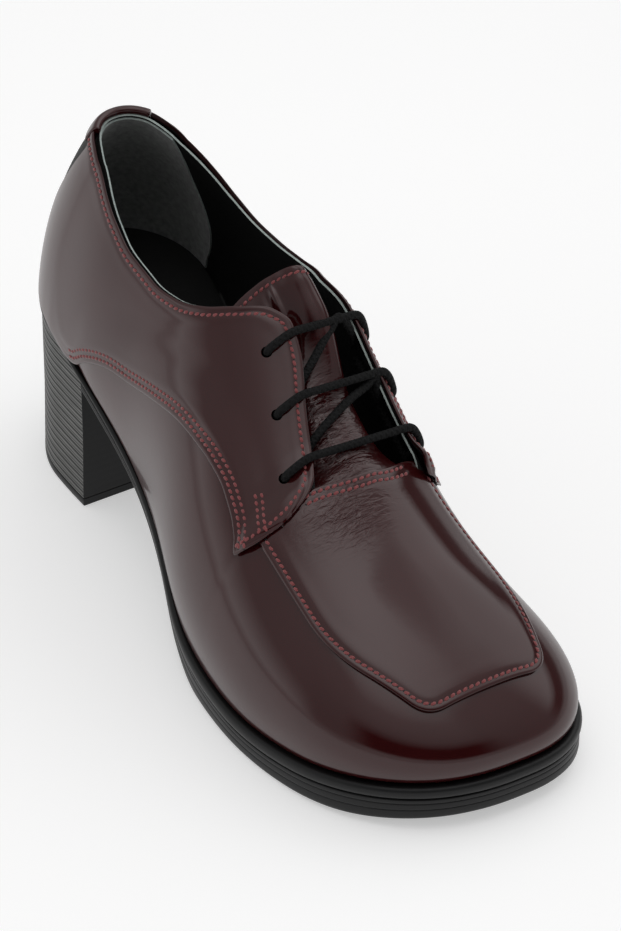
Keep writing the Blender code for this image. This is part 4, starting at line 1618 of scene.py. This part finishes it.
@dataclass
class Apron:
    """The apron sewn over the toe, a smooth panel with a thick cut edge."""

    pattern: Pattern
    finishes: Finishes
    crest: Crest
    base: float = 0.4
    thickness: float = 1.3
    edge_row: float = 1.7
    seam_rows: Span = (1.1, 2.9)
    insets: tuple[float, ...] = (0.0, 0.2, 0.45, 0.75, 1.1, 1.5, 1.9, 2.4, 2.9, 3.6)
    back_rises: Span = (0.56, 0.60)
    flex_spot: Span = (1.842, 0.885)
    flex_reach: tuple[float, float, float] = (11.0, 8.0, 20.0)
    # Corners of the sewn edge: x, station and how far from the corner its curve starts
    corners: tuple[tuple[float, float, float], ...] = (
        (-27.0, 202.0, 12.0), (-11.6, 230.0, 6.0), (28.8, 229.8, 7.0), (32.8, 211.5, 9.0),
        (34.0, 191.0, 10.0),
    )

    def __post_init__(self) -> None:
        """Find the outline in plan: the back seam, and the sewn edge with its rounded corners."""
        last = self.pattern.last
        halves = []
        for side, low in zip(Side, self.back_rises):
            rise = np.linspace(low, 1.0, 200)
            drop, turned = (0.026, (0.70, 1.0)) if side is Side.LATERAL else (0.034, (0.62, 0.92))
            turn = self.pattern.seam_turn - drop * fade(rise, *turned)
            halves.append(last.point(turn, rise, side)[:, :2])
        self.back = np.concatenate([halves[0], halves[1][::-1][1:]])
        marks = [last.place(x, station, 0.0)[:2] for x, station, _ in self.corners]
        spots = [self.back[0], *marks, self.back[-1]]
        share = np.linspace(0.0, 1.0, 24)[:, None]
        line = [spots[0][None]]
        for before, corner, after, (_, _, reach) in zip(spots, spots[1:], spots[2:], self.corners):
            start = corner + reach * unit(before - corner)
            end = corner + reach * unit(after - corner)
            line.append((1 - share) ** 2 * start + 2 * share * (1 - share) * corner + share**2 * end)
        line.append(spots[-1][None])
        self.edge = resample(np.concatenate(line), 500)

    def creases(self) -> list[Crease]:
        """Flex wrinkles just ahead of the seam."""
        side = Side.LATERAL
        return [
            Crease(1.820, 0.84, side, 84.0, 12.0, 2.8, -0.14),
            Crease(1.836, 0.87, side, 92.0, 14.0, 3.0, 0.14),
            Crease(1.852, 0.85, side, 86.0, 14.0, 3.0, -0.13),
            Crease(1.870, 0.88, side, 92.0, 13.0, 3.4, 0.10),
        ]

    @staticmethod
    def nearest(plan: Array, line: Array) -> Array:
        """Distance of each plan place from a line of points."""
        return np.array([np.linalg.norm(row[:, None] - line[None], axis=-1).min(1) for row in plan])

    @staticmethod
    def inside(line: Array, inset: Any) -> Array:
        """A plan line moved to its left."""
        way = tangents(line)
        return line + np.stack([-way[:, 1], way[:, 0]], -1) * inset

    def lay(self, x: Array, y: Array, relief: Any) -> Array:
        """Points of the face over plan places, with a relief added."""
        folds = self.crest.folds(x, y, self.creases())
        return self.crest.lift(x, y, self.base + self.thickness + relief + folds)

    def build(self) -> Piece:
        """Spread a panel from the sewn edge to the back seam and thicken it."""
        edge = resample(self.edge, 190)
        rim = np.stack([self.inside(edge, inset) for inset in self.insets], 1)
        inner = rim[:, -1]
        back = resample(self.back, len(edge), self.insets[-1])
        shares = 1.0 - (1.0 - np.linspace(0.0, 1.0, 46)[1:]) ** 1.6
        middle = inner[:, None] + (back - inner)[:, None] * shares[:, None]
        plan = np.concatenate([rim, middle], 1)
        from_edge = self.nearest(plan, resample(self.edge, 1200))
        from_edge[:, : len(self.insets)] = self.insets
        from_back = self.nearest(plan, resample(self.back, 1200))
        relief = sewn_edge(from_edge, (self.edge_row,)) + sewn_edge(from_back, self.seam_rows)
        looks = self.finishes
        points = self.lay(plan[..., 0], plan[..., 1], relief)
        piece = Bench.panel("apron_panel", points, self.thickness, [looks.patent, looks.edge, looks.lining])
        Bench.flex(piece, self.pattern.last.point(*self.flex_spot, Side.LATERAL), self.flex_reach)
        return piece

    def sew(self, stitching: Stitching) -> None:
        """Sew round the edge and along the back seam."""
        lines = [self.inside(self.edge[8:-8], self.edge_row)]
        lines += [self.inside(self.back[90:-90][::-1], row) for row in self.seam_rows]
        for line in lines:
            x, y = line[:, 0], line[:, 1]
            stitching.row(self.lay(x, y, -THREAD_DIP), self.crest.normal(x, y))


@dataclass
class Tongue:
    """The tongue under the facings, with its pinched lace keeper near the top."""

    pattern: Pattern
    finishes: Finishes
    crest: Crest
    depth: float = 2.3
    sink: float = 2.0
    root_lift: float = 2.1
    side_press: float = 2.2
    curl: float = 4.5
    flare: float = 6.0
    slant: float = 4.9
    thickness: float = 1.7
    edge_row: float = 1.8
    flex_spot: Span = (1.72, 0.93)
    flex_reach: tuple[float, float, float] = (13.0, 16.0, 30.0)

    def __post_init__(self) -> None:
        """Note where the tongue starts and ends."""
        self.top, self.root = (float(TONGUE_EDGE["turn"][k]) for k in (0, -1))

    def creases(self) -> list[Crease]:
        """The pinched keeper, and wrinkles between the lace bars."""
        side = Side.LATERAL
        return [
            Crease(1.500, 0.895, side, 4.0, 9.0, 1.7, 0.8),
            Crease(1.500, 0.865, side, 4.0, 10.0, 2.6, -0.6),
            Crease(1.665, 0.93, side, 80.0, 12.0, 2.4, 0.30),
            Crease(1.680, 0.94, side, 88.0, 13.0, 2.2, -0.26),
            Crease(1.694, 0.92, side, 82.0, 12.0, 2.4, 0.26),
            Crease(1.740, 0.92, side, 85.0, 14.0, 2.6, 0.30),
            Crease(1.755, 0.93, side, 92.0, 13.0, 2.4, -0.28),
            Crease(1.770, 0.92, side, 86.0, 12.0, 2.6, 0.24),
        ]

    def face(self, turn: Any) -> Array:
        """Outer face off the last along the middle: sunk under the lace, up against the apron at its root."""
        sunk = self.sink * ease(self.root - turn, 0.06, 0.20)
        return -self.depth - sunk + self.root_lift * ease(turn, 1.745, 1.79)

    def offset(self, turn: Any, across: Array) -> Array:
        """Outer face off the last: pressed down beside the outer facing, curled down at the inner edge."""
        beside = self.side_press * fade(across, 0.30, 0.62) * fade(turn, 1.74, 1.78)
        rolled = self.curl * ease(across, 0.84, 1.0) * fade(turn, 1.70, 1.78)
        flat = self.flare * ease(across, 0.55, 0.82) * fade(turn, 1.52, 1.68)
        return self.face(turn) - beside - rolled + flat

    def across(self, turn: float, shares: Array) -> tuple[Array, Array, float]:
        """Plan places at shares of the tongue's width, and that width."""
        last, edges = self.pattern.last, self.pattern.tongue
        lateral = np.linspace(float(edges[Side.LATERAL](turn)), 1.0, 60)
        medial = np.linspace(1.0, float(edges[Side.MEDIAL](turn)), 30)[1:]
        halves = [last.point(turn, lateral, Side.LATERAL), last.point(turn, medial, Side.MEDIAL)]
        line = np.concatenate(halves)
        run = lengths(line)
        x, y = (np.interp(shares * run[-1], run, line[:, k]) for k in range(2))
        return x, y + self.slant * (0.4 - shares) * fade(turn, 1.46, 1.60), run[-1]

    def lay(self, turn: float, shares: Array, relief: Any) -> Array:
        """Points of the face at shares of the width, with a relief added."""
        x, y, _ = self.across(turn, shares)
        folds = self.crest.folds(x, y, self.creases())
        return self.crest.lift(x, y, self.offset(turn, shares) + relief + folds)

    def build(self) -> Piece:
        """Lay the tongue across the ridge and thicken it."""
        last, looks = self.pattern.last, self.finishes
        turns = self.top + (self.root - self.top) * np.r_[0.0, 0.003, 0.01, 0.02, np.linspace(0.035, 1.0, 72)]
        shares = np.r_[0.0, 0.006, 0.02, 0.04, np.linspace(0.07, 0.93, 44), 0.96, 0.98, 0.994, 1.0]
        columns = []
        for turn in turns:
            width = self.across(turn, shares)[2]
            edge = np.minimum(np.minimum(shares, 1.0 - shares) * width, (turn - self.top) * last.turn_length)
            columns.append(self.lay(turn, shares, sewn_edge(edge, (self.edge_row,))))
        materials = [looks.patent, looks.pale_edge, looks.lining]
        piece = Bench.panel("tongue_flap", np.array(columns), self.thickness, materials)
        Bench.flex(piece, last.point(*self.flex_spot, Side.LATERAL), self.flex_reach)
        return piece

    def sew(self, stitching: Stitching) -> None:
        """Sew along the top edge."""
        turn = self.top + self.edge_row / self.pattern.last.turn_length
        shares = np.linspace(0.1, 0.93, 80)
        x, y, _ = self.across(turn, shares)
        stitching.row(self.lay(turn, shares, -THREAD_DIP), self.crest.normal(x, y))


@dataclass
class Plan:
    """A closed outline of the sole in plan, column by column.

    Attributes:
        spots: Turn and side of each column.
        last: The last.
        bridge: Places on the straight run that joins the last column to the first, nought for none.
    """

    spots: list[tuple[float, Side]]
    last: Last
    bridge: int = 0

    def close(self, line: Array) -> Array:
        """Add the straight run, and the first place once more."""
        if self.bridge:
            line = np.concatenate([line, np.linspace(line[-1], line[0], self.bridge)[1:-1]])
        return np.concatenate([line, line[:1]])

    def points(self, margin: Curve, height: Curve) -> Array:
        """One loop of the outline.

        Args:
            margin: Millimetres out from the feather line, by station.
            height: Height by station.

        Returns:
            The loop's points, closed on its first one.
        """
        loop = []
        for turn, side in self.spots:
            x, station, _ = self.last.feather(turn, side)
            x1, s1, _ = self.last.feather(min(turn + self.last.step, 3.0), side)
            x0, s0, _ = self.last.feather(max(turn - self.last.step, 0.0), side)
            normal = -side.value * unit(np.array([s0 - s1, x0 - x1]))
            out = float(margin(station))
            loop.append((float(x + normal[0] * out), float(station - normal[1] * out)))
        x, station = self.close(np.array(loop)).T
        return self.last.place(x, station, height(station))

    def centre(self, height: Curve) -> Array:
        """The outline drawn in to the sole's middle line, where a face closes."""
        station = self.close(np.array([float(self.last.outline(turn)[0]) for turn, _ in self.spots]))
        return self.last.place(self.last.section("axis_x", station), station, height(station))


def level(value: float) -> Curve:
    """A curve that stays at one value."""
    return lambda place: value + 0.0 * np.asarray(place, float)


def loft_plate(name: str, plan: Plan, rows: Sequence[tuple[Curve, Curve]], finishes: list[Material]) -> Piece:
    """Stack outline loops and close them below and above.

    Args:
        name: The piece's name.
        plan: The outline.
        rows: Margin and height functions from the underside up.
        finishes: Its materials.

    Returns:
        The closed plate.
    """
    loops = [plan.centre(rows[0][1])]
    loops += [plan.points(margin, height) for margin, height in rows]
    loops.append(plan.centre(rows[-1][1]))
    return Bench.sheet(name, np.stack(loops, 1), finishes, weld=True)


@dataclass
class Sole:
    """Welt, outsole, heel, lift and insole."""

    pattern: Pattern
    finishes: Finishes
    seat_gap: float = 0.3
    insole_thickness: float = 2.8
    breast_station: float = 55.0
    breast_gap: float = 0.5
    heel_top: float = 62.0
    heel_flare: float = 0.45
    flare_loss: float = 0.5
    flare_height: float = 30.0
    lift_thickness: float = 2.5
    layer: float = 2.6

    def __post_init__(self) -> None:
        """Lay out the columns round the sole."""
        self.last = self.pattern.last
        self.ring = self.pattern.ring(36, 90, 64)
        self.whole = Plan(round_toe(self.ring)[:-1], self.last)

    def seat(self, station: Array) -> Array:
        """Top of the welt."""
        return self.last.section("feather_z", station) - self.seat_gap

    def welt_low(self, station: Array) -> Array:
        """Underside of the welt."""
        return self.seat(station) - SOLE_CURVES["welt_thickness"](station)

    def under_welt(self, station: Array) -> Array:
        """Top of what lies under the welt."""
        return self.welt_low(station) - self.seat_gap

    @staticmethod
    def tier(profile: Sequence[Span], out: Curve, low: Curve, high: Curve) -> list[tuple[Curve, Curve]]:
        """Rows of a plate from a side profile.

        Args:
            profile: Shares of the height and insets.
            out: Margin to the feather line by station.
            low: Underside by station.
            high: Top by station.

        Returns:
            Margin and height functions from the underside up.
        """

        def row(share: float, inset: float) -> tuple[Curve, Curve]:
            """One loop of the profile."""
            return (lambda s: out(s) - inset, lambda s: low(s) + (high(s) - low(s)) * share)

        return [row(share, inset) for share, inset in profile]

    def build(self) -> list[tuple[Piece, str]]:
        """Model the five plates.

        Returns:
            Each piece with the frame's node that it stands for.
        """
        return [
            (self.welt(), "welt"),
            (self.outsole(), "outsole"),
            (self.heel(), "heel"),
            (self.lift(), "heel_lift"),
            (self.insole(), "insole"),
        ]

    def welt(self) -> Piece:
        """The rounded upper tier."""
        rows = [
            (level(-2.0), self.welt_low),
            *self.tier(WELT_PROFILE, SOLE_CURVES["welt_out"], self.welt_low, self.seat),
            (level(0.2), self.seat),
            (level(-2.5), lambda s: self.seat(s) - 0.2),
        ]
        return loft_plate("welt_tier", self.whole, rows, [self.finishes.rubber])

    def outsole(self) -> Piece:
        """The lower tier, grooved round its side, with a plain tread."""
        start = self.last.turn_at(self.breast_station + self.breast_gap)
        turns = [start] + [float(t) for t in self.ring if t > start + 0.005]
        plan = Plan(round_toe(turns), self.last, bridge=24)
        tread = SOLE_CURVES["tread_z"]
        rows = [(level(-inset), tread) for inset in (22.0, 14.0, 7.0, 3.0)]
        rows += self.tier(SOLE_PROFILE, SOLE_CURVES["sole_out"], tread, self.under_welt)
        rows.append((level(-3.0), self.under_welt))
        return loft_plate("outsole_tier", plan, rows, [self.finishes.rubber])

    def heel_plan(self) -> Plan:
        """Outline of the heel with its flat breast."""
        breast = self.last.turn_at(self.breast_station)
        turns = [float(t) for t in self.ring if t < breast - 0.003] + [breast]
        return Plan(round_heel(turns), self.last, bridge=30)

    def heel(self) -> Piece:
        """The block heel, scored all round like stacked layers; the breast is black rubber, darker than the
        sides as painted shade.
        """

        def row(z: float, inset: float) -> tuple[Curve, Curve]:
            """A level loop, cut off by the welt above."""
            flare = self.heel_flare - self.flare_loss * ease(z, 0.0, self.flare_height)
            return (level(flare - inset), lambda s: np.minimum(z + 0.0 * s, self.under_welt(s)))

        rows: list[tuple[Curve, Curve]] = []
        z = self.lift_thickness + self.seat_gap
        while z < self.heel_top:
            rows += [row(z, 0.26), row(z + 0.28, 0.03), row(z + 1.3, 0.0), row(z + self.layer - 0.28, 0.03)]
            z += self.layer
        piece = loft_plate("heel_block", self.heel_plan(), rows, [self.finishes.stack, self.finishes.rubber])
        # Painted shade: faces that look forward, into the shadow under the waist, take the black rubber in
        # place of the stacked cover
        for face in piece.data.polygons:
            face.material_index = int(face.normal.y < -0.7)
        return piece

    def lift(self) -> Piece:
        """The rubber top piece that the heel stands on."""
        levels = ((0.0, 0.5), (0.12, 0.1), (0.4, -0.05), (2.2, -0.05), (self.lift_thickness, 0.15))
        rows = [(level(self.heel_flare - inset), level(z)) for z, inset in levels]
        return loft_plate("heel_top_piece", self.heel_plan(), rows, [self.finishes.rubber])

    def insole(self) -> Piece:
        """The insole, a soft-edged plate inside the lining."""
        profile = ((0.0, 2.6), (0.5, 2.5), (0.85, 2.7), (1.0, 3.4))

        def low(station: Array) -> Array:
            """Underside of the insole, at the feather line."""
            return self.last.section("feather_z", station)

        rows = self.tier(profile, level(0.0), low, lambda s: low(s) + self.insole_thickness)
        return loft_plate("insole_sock", self.whole, rows, [self.finishes.insole])


@dataclass
class Lace:
    """The round lace: three bars over the facings, two slanting runs under them."""

    pattern: Pattern
    finishes: Finishes
    tongue: Tongue
    quarters: dict[Side, Quarter]
    diameter: float = 2.5
    under_facing: float = -1.6
    slant: float = 0.013
    pressed_in: float = 0.5
    lip_inset: float = 0.004
    bar_shares: tuple[float, ...] = (0.2, 0.4, 0.6, 0.8)
    run_shares: tuple[float, ...] = (0.0, 0.15, 0.3, 0.55, 0.8)
    # For each slanting run: where along the bar above it comes out, and how far below that bar
    knees: tuple[Span, ...] = ((0.70, 2.5), (0.93, 4.0))

    def on_tongue(self, spot: Array, turn: float) -> float:
        """Height of the lace's middle where it lies on the tongue."""
        face = float(self.tongue.crest.height(spot[0], spot[1]))
        return face + float(self.tongue.face(turn)) + self.diameter / 2

    def route(self) -> Array:
        """The lace's line from end to end, in millimetres."""
        last, pattern = self.pattern.last, self.pattern
        outer, inner = Side
        radius = self.diameter / 2
        under = self.under_facing - radius
        line: list[Array] = []

        def spot(turn: float, rise: float, side: Side, offset: float) -> Array:
            """Add a point of the route at an offset from the last."""
            line.append(last.skin(turn, rise, side, offset))
            return line[-1]

        def over(turn: float, rise: float, side: Side, more: float) -> Array:
            """Add a point of the route on the face of a quarter."""
            return spot(turn, rise, side, float(self.quarters[side].surface(turn, rise)) + radius + more)

        def rest(place: Array, turn: float, more: float = 0.0) -> None:
            """Add a point of the route, no lower than on the tongue."""
            place[2] = max(place[2], self.on_tongue(place, turn)) + more
            line.append(place)

        rows = list(zip(EYELETS["turn"], EYELETS["lateral"], EYELETS["medial"]))
        for k, (turn, lateral, medial) in enumerate(rows):
            lip, far_lip = (pattern.top(turn, side) for side in Side)
            spot(turn, lateral - 0.004, outer, under)
            spot(turn, lateral, outer, -0.6)
            over(turn, lateral + 0.006, outer, -0.5)
            over(turn, lateral + 0.03, outer, 0.1)
            start = over(turn, lip - self.lip_inset, outer, -self.pressed_in)
            face = self.quarters[inner].surface(turn, far_lip) + radius - self.pressed_in
            end = last.skin(turn - self.slant, far_lip - self.lip_inset, inner, face)
            for share in self.bar_shares:
                rest(start * (1 - share) + end * share, turn)
            line.append(end)
            over(turn, medial + 0.012, inner, -0.6)
            spot(turn, medial, inner, 0.0)
            spot(turn, medial - 0.004, inner, under)
            if k + 1 < len(rows):
                ahead, next_lateral, _ = rows[k + 1]
                next_lip = pattern.top(ahead, outer)
                spot(turn + 0.006, far_lip - 0.012, inner, under)
                along, drop = self.knees[k]
                knee = start * (1 - along) + end * along + np.array((0.0, 0.6, -drop))
                tuck = last.skin(ahead - 0.012, next_lip - 0.02, outer, under)
                for share in self.run_shares:
                    arch = max(0.0, 3.2 - 5.6 * share)
                    rest(knee * (1 - share) + tuck * share, turn + (ahead - turn) * share, arch)
                line.append(tuck)
                spot(ahead, (next_lateral + next_lip) / 2, outer, under - 0.2)
        for turn, _, medial in rows[::-1]:
            spot(turn, medial - 0.05, inner, under - 0.4)
        return self.smooth(np.array(line))

    @staticmethod
    def smooth(knots: Array, spacing: float = 0.7) -> Array:
        """A smooth line through the knots, with points at an even spacing."""
        run = lengths(knots)
        curves = [even_curve(run, knots[:, k]) for k in range(3)]
        fine = np.stack([curve(np.linspace(0.0, run[-1], 3000)) for curve in curves], -1)
        line = resample(fine, int(run[-1] / spacing))
        for _ in range(3):
            line[1:-1] = 0.25 * line[:-2] + 0.5 * line[1:-1] + 0.25 * line[2:]
        return line

    def build(self) -> Piece:
        """Sweep the cord along its route."""
        route = self.route()
        LOG.info("lace runs %.0f mm", lengths(route)[-1])
        return Bench.tube("lace_cord", route, self.diameter / 2, self.finishes.lace, 14)


def punch(pieces: Sequence[Piece], pattern: Pattern, side: Side, radius: float) -> None:
    """Punch the eyelets of one side through all the layers that lie there.

    Args:
        pieces: The layers.
        pattern: The cutting pattern.
        side: Side of the foot.
        radius: Radius of the hole in millimetres.
    """
    for turn, rise in zip(EYELETS["turn"], EYELETS[side.column]):
        spot = pattern.last.point(turn, rise, side)
        normal = Vector(pattern.last.normal(turn, rise, side))
        Bench.deselect()
        bpy.ops.mesh.primitive_cylinder_add(
            vertices=28,
            radius=radius * MM,
            depth=14 * MM,
            location=Vector(spot) * MM,
            rotation=normal.to_track_quat("Z", "Y").to_euler(),
        )
        drill = bpy.context.object
        for piece in pieces:
            Bench.modify(piece, "BOOLEAN", operation="DIFFERENCE", solver="EXACT", object=drill)
        bpy.data.objects.remove(drill, do_unlink=True)


@dataclass(frozen=True)
class TentWall:
    """A wall of the light tent.

    Attributes:
        heading: Degrees from +X, anticlockwise seen from above, in which it stands.
        reach: How squarely a direction has to face it for it to start, and to be there in full.
        stops: How bright it is, by the sine of the height above the horizon.
    """

    heading: float
    reach: Span
    stops: tuple[Span, ...]

    def direction(self) -> tuple[float, float, float]:
        """Level direction towards the wall."""
        return (math.cos(math.radians(self.heading)), math.sin(math.radians(self.heading)), 0.0)

    def ramp(self, tree: Nodes, height: Socket) -> Socket:
        """Brightness by height.

        Args:
            tree: The world's nodes.
            height: Nought straight down, one straight up.

        Returns:
            The socket with the brightness.
        """
        color = add_node(tree, "ValToRGB", {"Fac": height})
        elements = color.node.color_ramp.elements
        while len(elements) < len(self.stops):
            elements.new(0.5)
        for element, (sine, bright) in zip(elements, self.stops):
            element.position = (sine + 1.0) / 2.0
            element.color = (bright, bright, bright, 1.0)
        return color


# The even wall all round, a bright low one behind the inner side, a dark one before the toe and a bright
# one at the inner side
EVEN_STOPS = (
    (-1.0, 0.7), (0.0, 0.68), (0.14, 0.4), (0.34, 0.4), (0.64, 0.48), (0.87, 0.6), (0.94, 1.3),
    (1.0, 1.8),
)
BACK_STOPS = ((-1.0, 0.7), (0.0, 0.7), (0.1, 1.2), (0.2, 1.0), (0.42, 0.48), (0.87, 0.6), (1.0, 1.8))
DARK_STOPS = (
    (-1.0, 0.7), (0.1, 0.65), (0.2, 0.012), (0.52, 0.012), (0.68, 0.5), (0.85, 0.7), (0.93, 1.3),
    (1.0, 1.8),
)
BRIGHT_STOPS = (
    (-1.0, 0.7), (0.1, 0.65), (0.2, 0.1), (0.36, 0.1), (0.5, 1.3), (0.88, 1.35), (0.93, 0.85),
    (1.0, 0.8),
)


@dataclass
class Studio:
    """Pale floor that glows with a painted pool of light, soft light and the camera."""

    azimuth: float = -31.1
    elevation: float = 37.5
    distance: float = 1560.0
    target: tuple[float, float, float] = (10.3, -3.0, 48.6)
    focal_px: float = 5240.0
    image_width: float = 621.0
    sensor: float = 36.0
    floor_size: float = 1.5
    floor_drop: float = 0.2
    floor_near: float = 0.25
    # Colour and glow of the floor near the shoe and far from it: a painted pool of light
    floor_pool_tones: Span = (0.72, 0.66)
    floor_painted_glows: Span = (0.43, 0.28)
    even_wall: TentWall = TentWall(0.0, (0.0, 1.0), EVEN_STOPS)
    walls: tuple[TentWall, ...] = (
        TentWall(146.0, (0.84, 1.0), BACK_STOPS),
        TentWall(245.0, (0.6, 0.85), DARK_STOPS),
        TentWall(15.0, (0.57, 0.9), BRIGHT_STOPS),
    )

    def build(self) -> None:
        """Set up the stage."""
        self.floor()
        self.light()
        self.camera()
        bpy.context.scene.view_settings.view_transform = "Standard"

    def floor(self) -> None:
        """A pale floor that glows: a painted pool of light, brighter in colour and glow by the shoe and
        dimmer far from it.
        """
        Bench.deselect()
        bpy.ops.mesh.primitive_circle_add(
            vertices=96, radius=self.floor_size, fill_type="NGON", location=(0.0, 0.0, -self.floor_drop * MM)
        )
        floor = bpy.context.object
        floor.name = "floor"
        material, tree, shader = new_material("pale_floor_painted_glow")
        # Painted light: the floor glows though it is no lamp
        fill(shader, {"Roughness": 0.9, "Specular IOR Level": 0.1, "Emission Color": (1.0, 1.0, 1.0, 1.0)})
        place = add_node(tree, "TexCoord", output="Object")
        away = add_node(tree, "VectorMath", {0: place}, "Value", operation="LENGTH")
        reach = {"Value": away, "From Min": self.floor_near, "From Max": self.floor_size}
        # Painted pool of light: colour and glow fall off with the distance from the shoe
        painted_pool_light = {"Base Color": self.floor_pool_tones, "Emission Strength": self.floor_painted_glows}
        for socket, (near, far) in painted_pool_light.items():
            fill(shader, {socket: add_node(tree, "MapRange", {**reach, "To Min": near, "To Max": far})})
        floor.data.materials.append(material)

    def light(self) -> None:
        """A light tent: one even wall all round, and three walls that stand in it."""
        world = bpy.data.worlds.new("light_tent")
        bpy.context.scene.world = world
        world.use_nodes = True
        tree = world.node_tree
        way = add_node(tree, "TexCoord", output="Generated")
        x, y, z = add_node(tree, "SeparateXYZ", {"Vector": way}).node.outputs
        height = add_node(tree, "MapRange", {"Value": z, "From Min": -1.0})
        flat = add_node(tree, "CombineXYZ", {"X": x, "Y": y})
        heading = add_node(tree, "VectorMath", {0: flat}, operation="NORMALIZE")
        color = self.even_wall.ramp(tree, height)
        for wall in self.walls:
            square = {0: heading, 1: wall.direction()}
            facing = add_node(tree, "VectorMath", square, "Value", operation="DOT_PRODUCT")
            ends = {"Value": facing, "From Min": wall.reach[0], "From Max": wall.reach[1]}
            weight = add_node(tree, "MapRange", ends, interpolation_type="SMOOTHSTEP")
            shades = {"Factor": weight, "A": color, "B": wall.ramp(tree, height)}
            color = add_node(tree, "Mix", shades, data_type="RGBA")
        fill(tree.nodes["Background"], {"Color": color, "Strength": 1.0})

    def camera(self) -> None:
        """The camera at the photograph's angle."""
        azimuth, elevation = math.radians(self.azimuth), math.radians(self.elevation)
        out = math.cos(elevation)
        back = Vector((math.sin(azimuth) * out, -math.cos(azimuth) * out, math.sin(elevation)))
        data = bpy.data.cameras.new("camera")
        camera = bpy.data.objects.new("camera", data)
        bpy.context.scene.collection.objects.link(camera)
        camera.location = (Vector(self.target) + back * self.distance) * MM
        camera.rotation_euler = back.to_track_quat("Z", "Y").to_euler()
        data.sensor_fit = "HORIZONTAL"
        data.sensor_width = self.sensor
        data.lens = self.focal_px / self.image_width * self.sensor
        data.clip_end = 20.0
        bpy.context.scene.camera = camera


def main() -> None:
    """Build the shoe piece by piece."""
    logging.basicConfig(level=logging.INFO, format="%(name)s %(message)s")
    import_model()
    finishes = Finishes.make()
    pattern = Pattern(Last())
    stitching = Stitching()

    vamp = Vamp(Pattern(Last(facing_lean=0.0)), finishes).build()
    lining, grip = Lining(pattern, finishes).build()
    quarters = {side: Quarter(pattern, finishes, side) for side in Side}
    sides = {}
    for side, quarter in quarters.items():
        sides[side] = quarter.build()
        quarter.sew(stitching)
        punch([sides[side], vamp, lining], pattern, side, quarter.eyelet_radius)
    Bench.complete(vamp, Slot.PATENT, ["upper"])
    Bench.complete(lining, Slot.BLACK_LEATHER)
    Bench.complete(grip, Slot.BLACK_LEATHER)
    for side, piece in sides.items():
        Bench.complete(piece, Slot.PATENT, ["quarter_" + side.column])
    crest = Crest(pattern.last)
    apron = Apron(pattern, finishes, crest)
    Bench.complete(apron.build(), Slot.PATENT, ["apron"])
    apron.sew(stitching)
    tongue = Tongue(pattern, finishes, crest)
    Bench.complete(tongue.build(), Slot.PATENT, ["tongue"])
    tongue.sew(stitching)
    Bench.complete(CollarTab(pattern, finishes).build(), Slot.PATENT, ["collar_tab"])
    Bench.complete(Backstay(pattern, finishes).build(), Slot.BLACK_LEATHER, ["backstay"])
    for piece, node in Sole(pattern, finishes).build():
        slot = Slot.BLACK_LEATHER if node == "insole" else Slot.RUBBER
        Bench.complete(piece, slot, [node], 35.0)
    Bench.complete(Lace(pattern, finishes, tongue, quarters).build(), Slot.CORD, ["lace"])
    stitching.build(finishes.thread, finishes.edge)
    Studio().build()


if __name__ == "__main__":
    main()
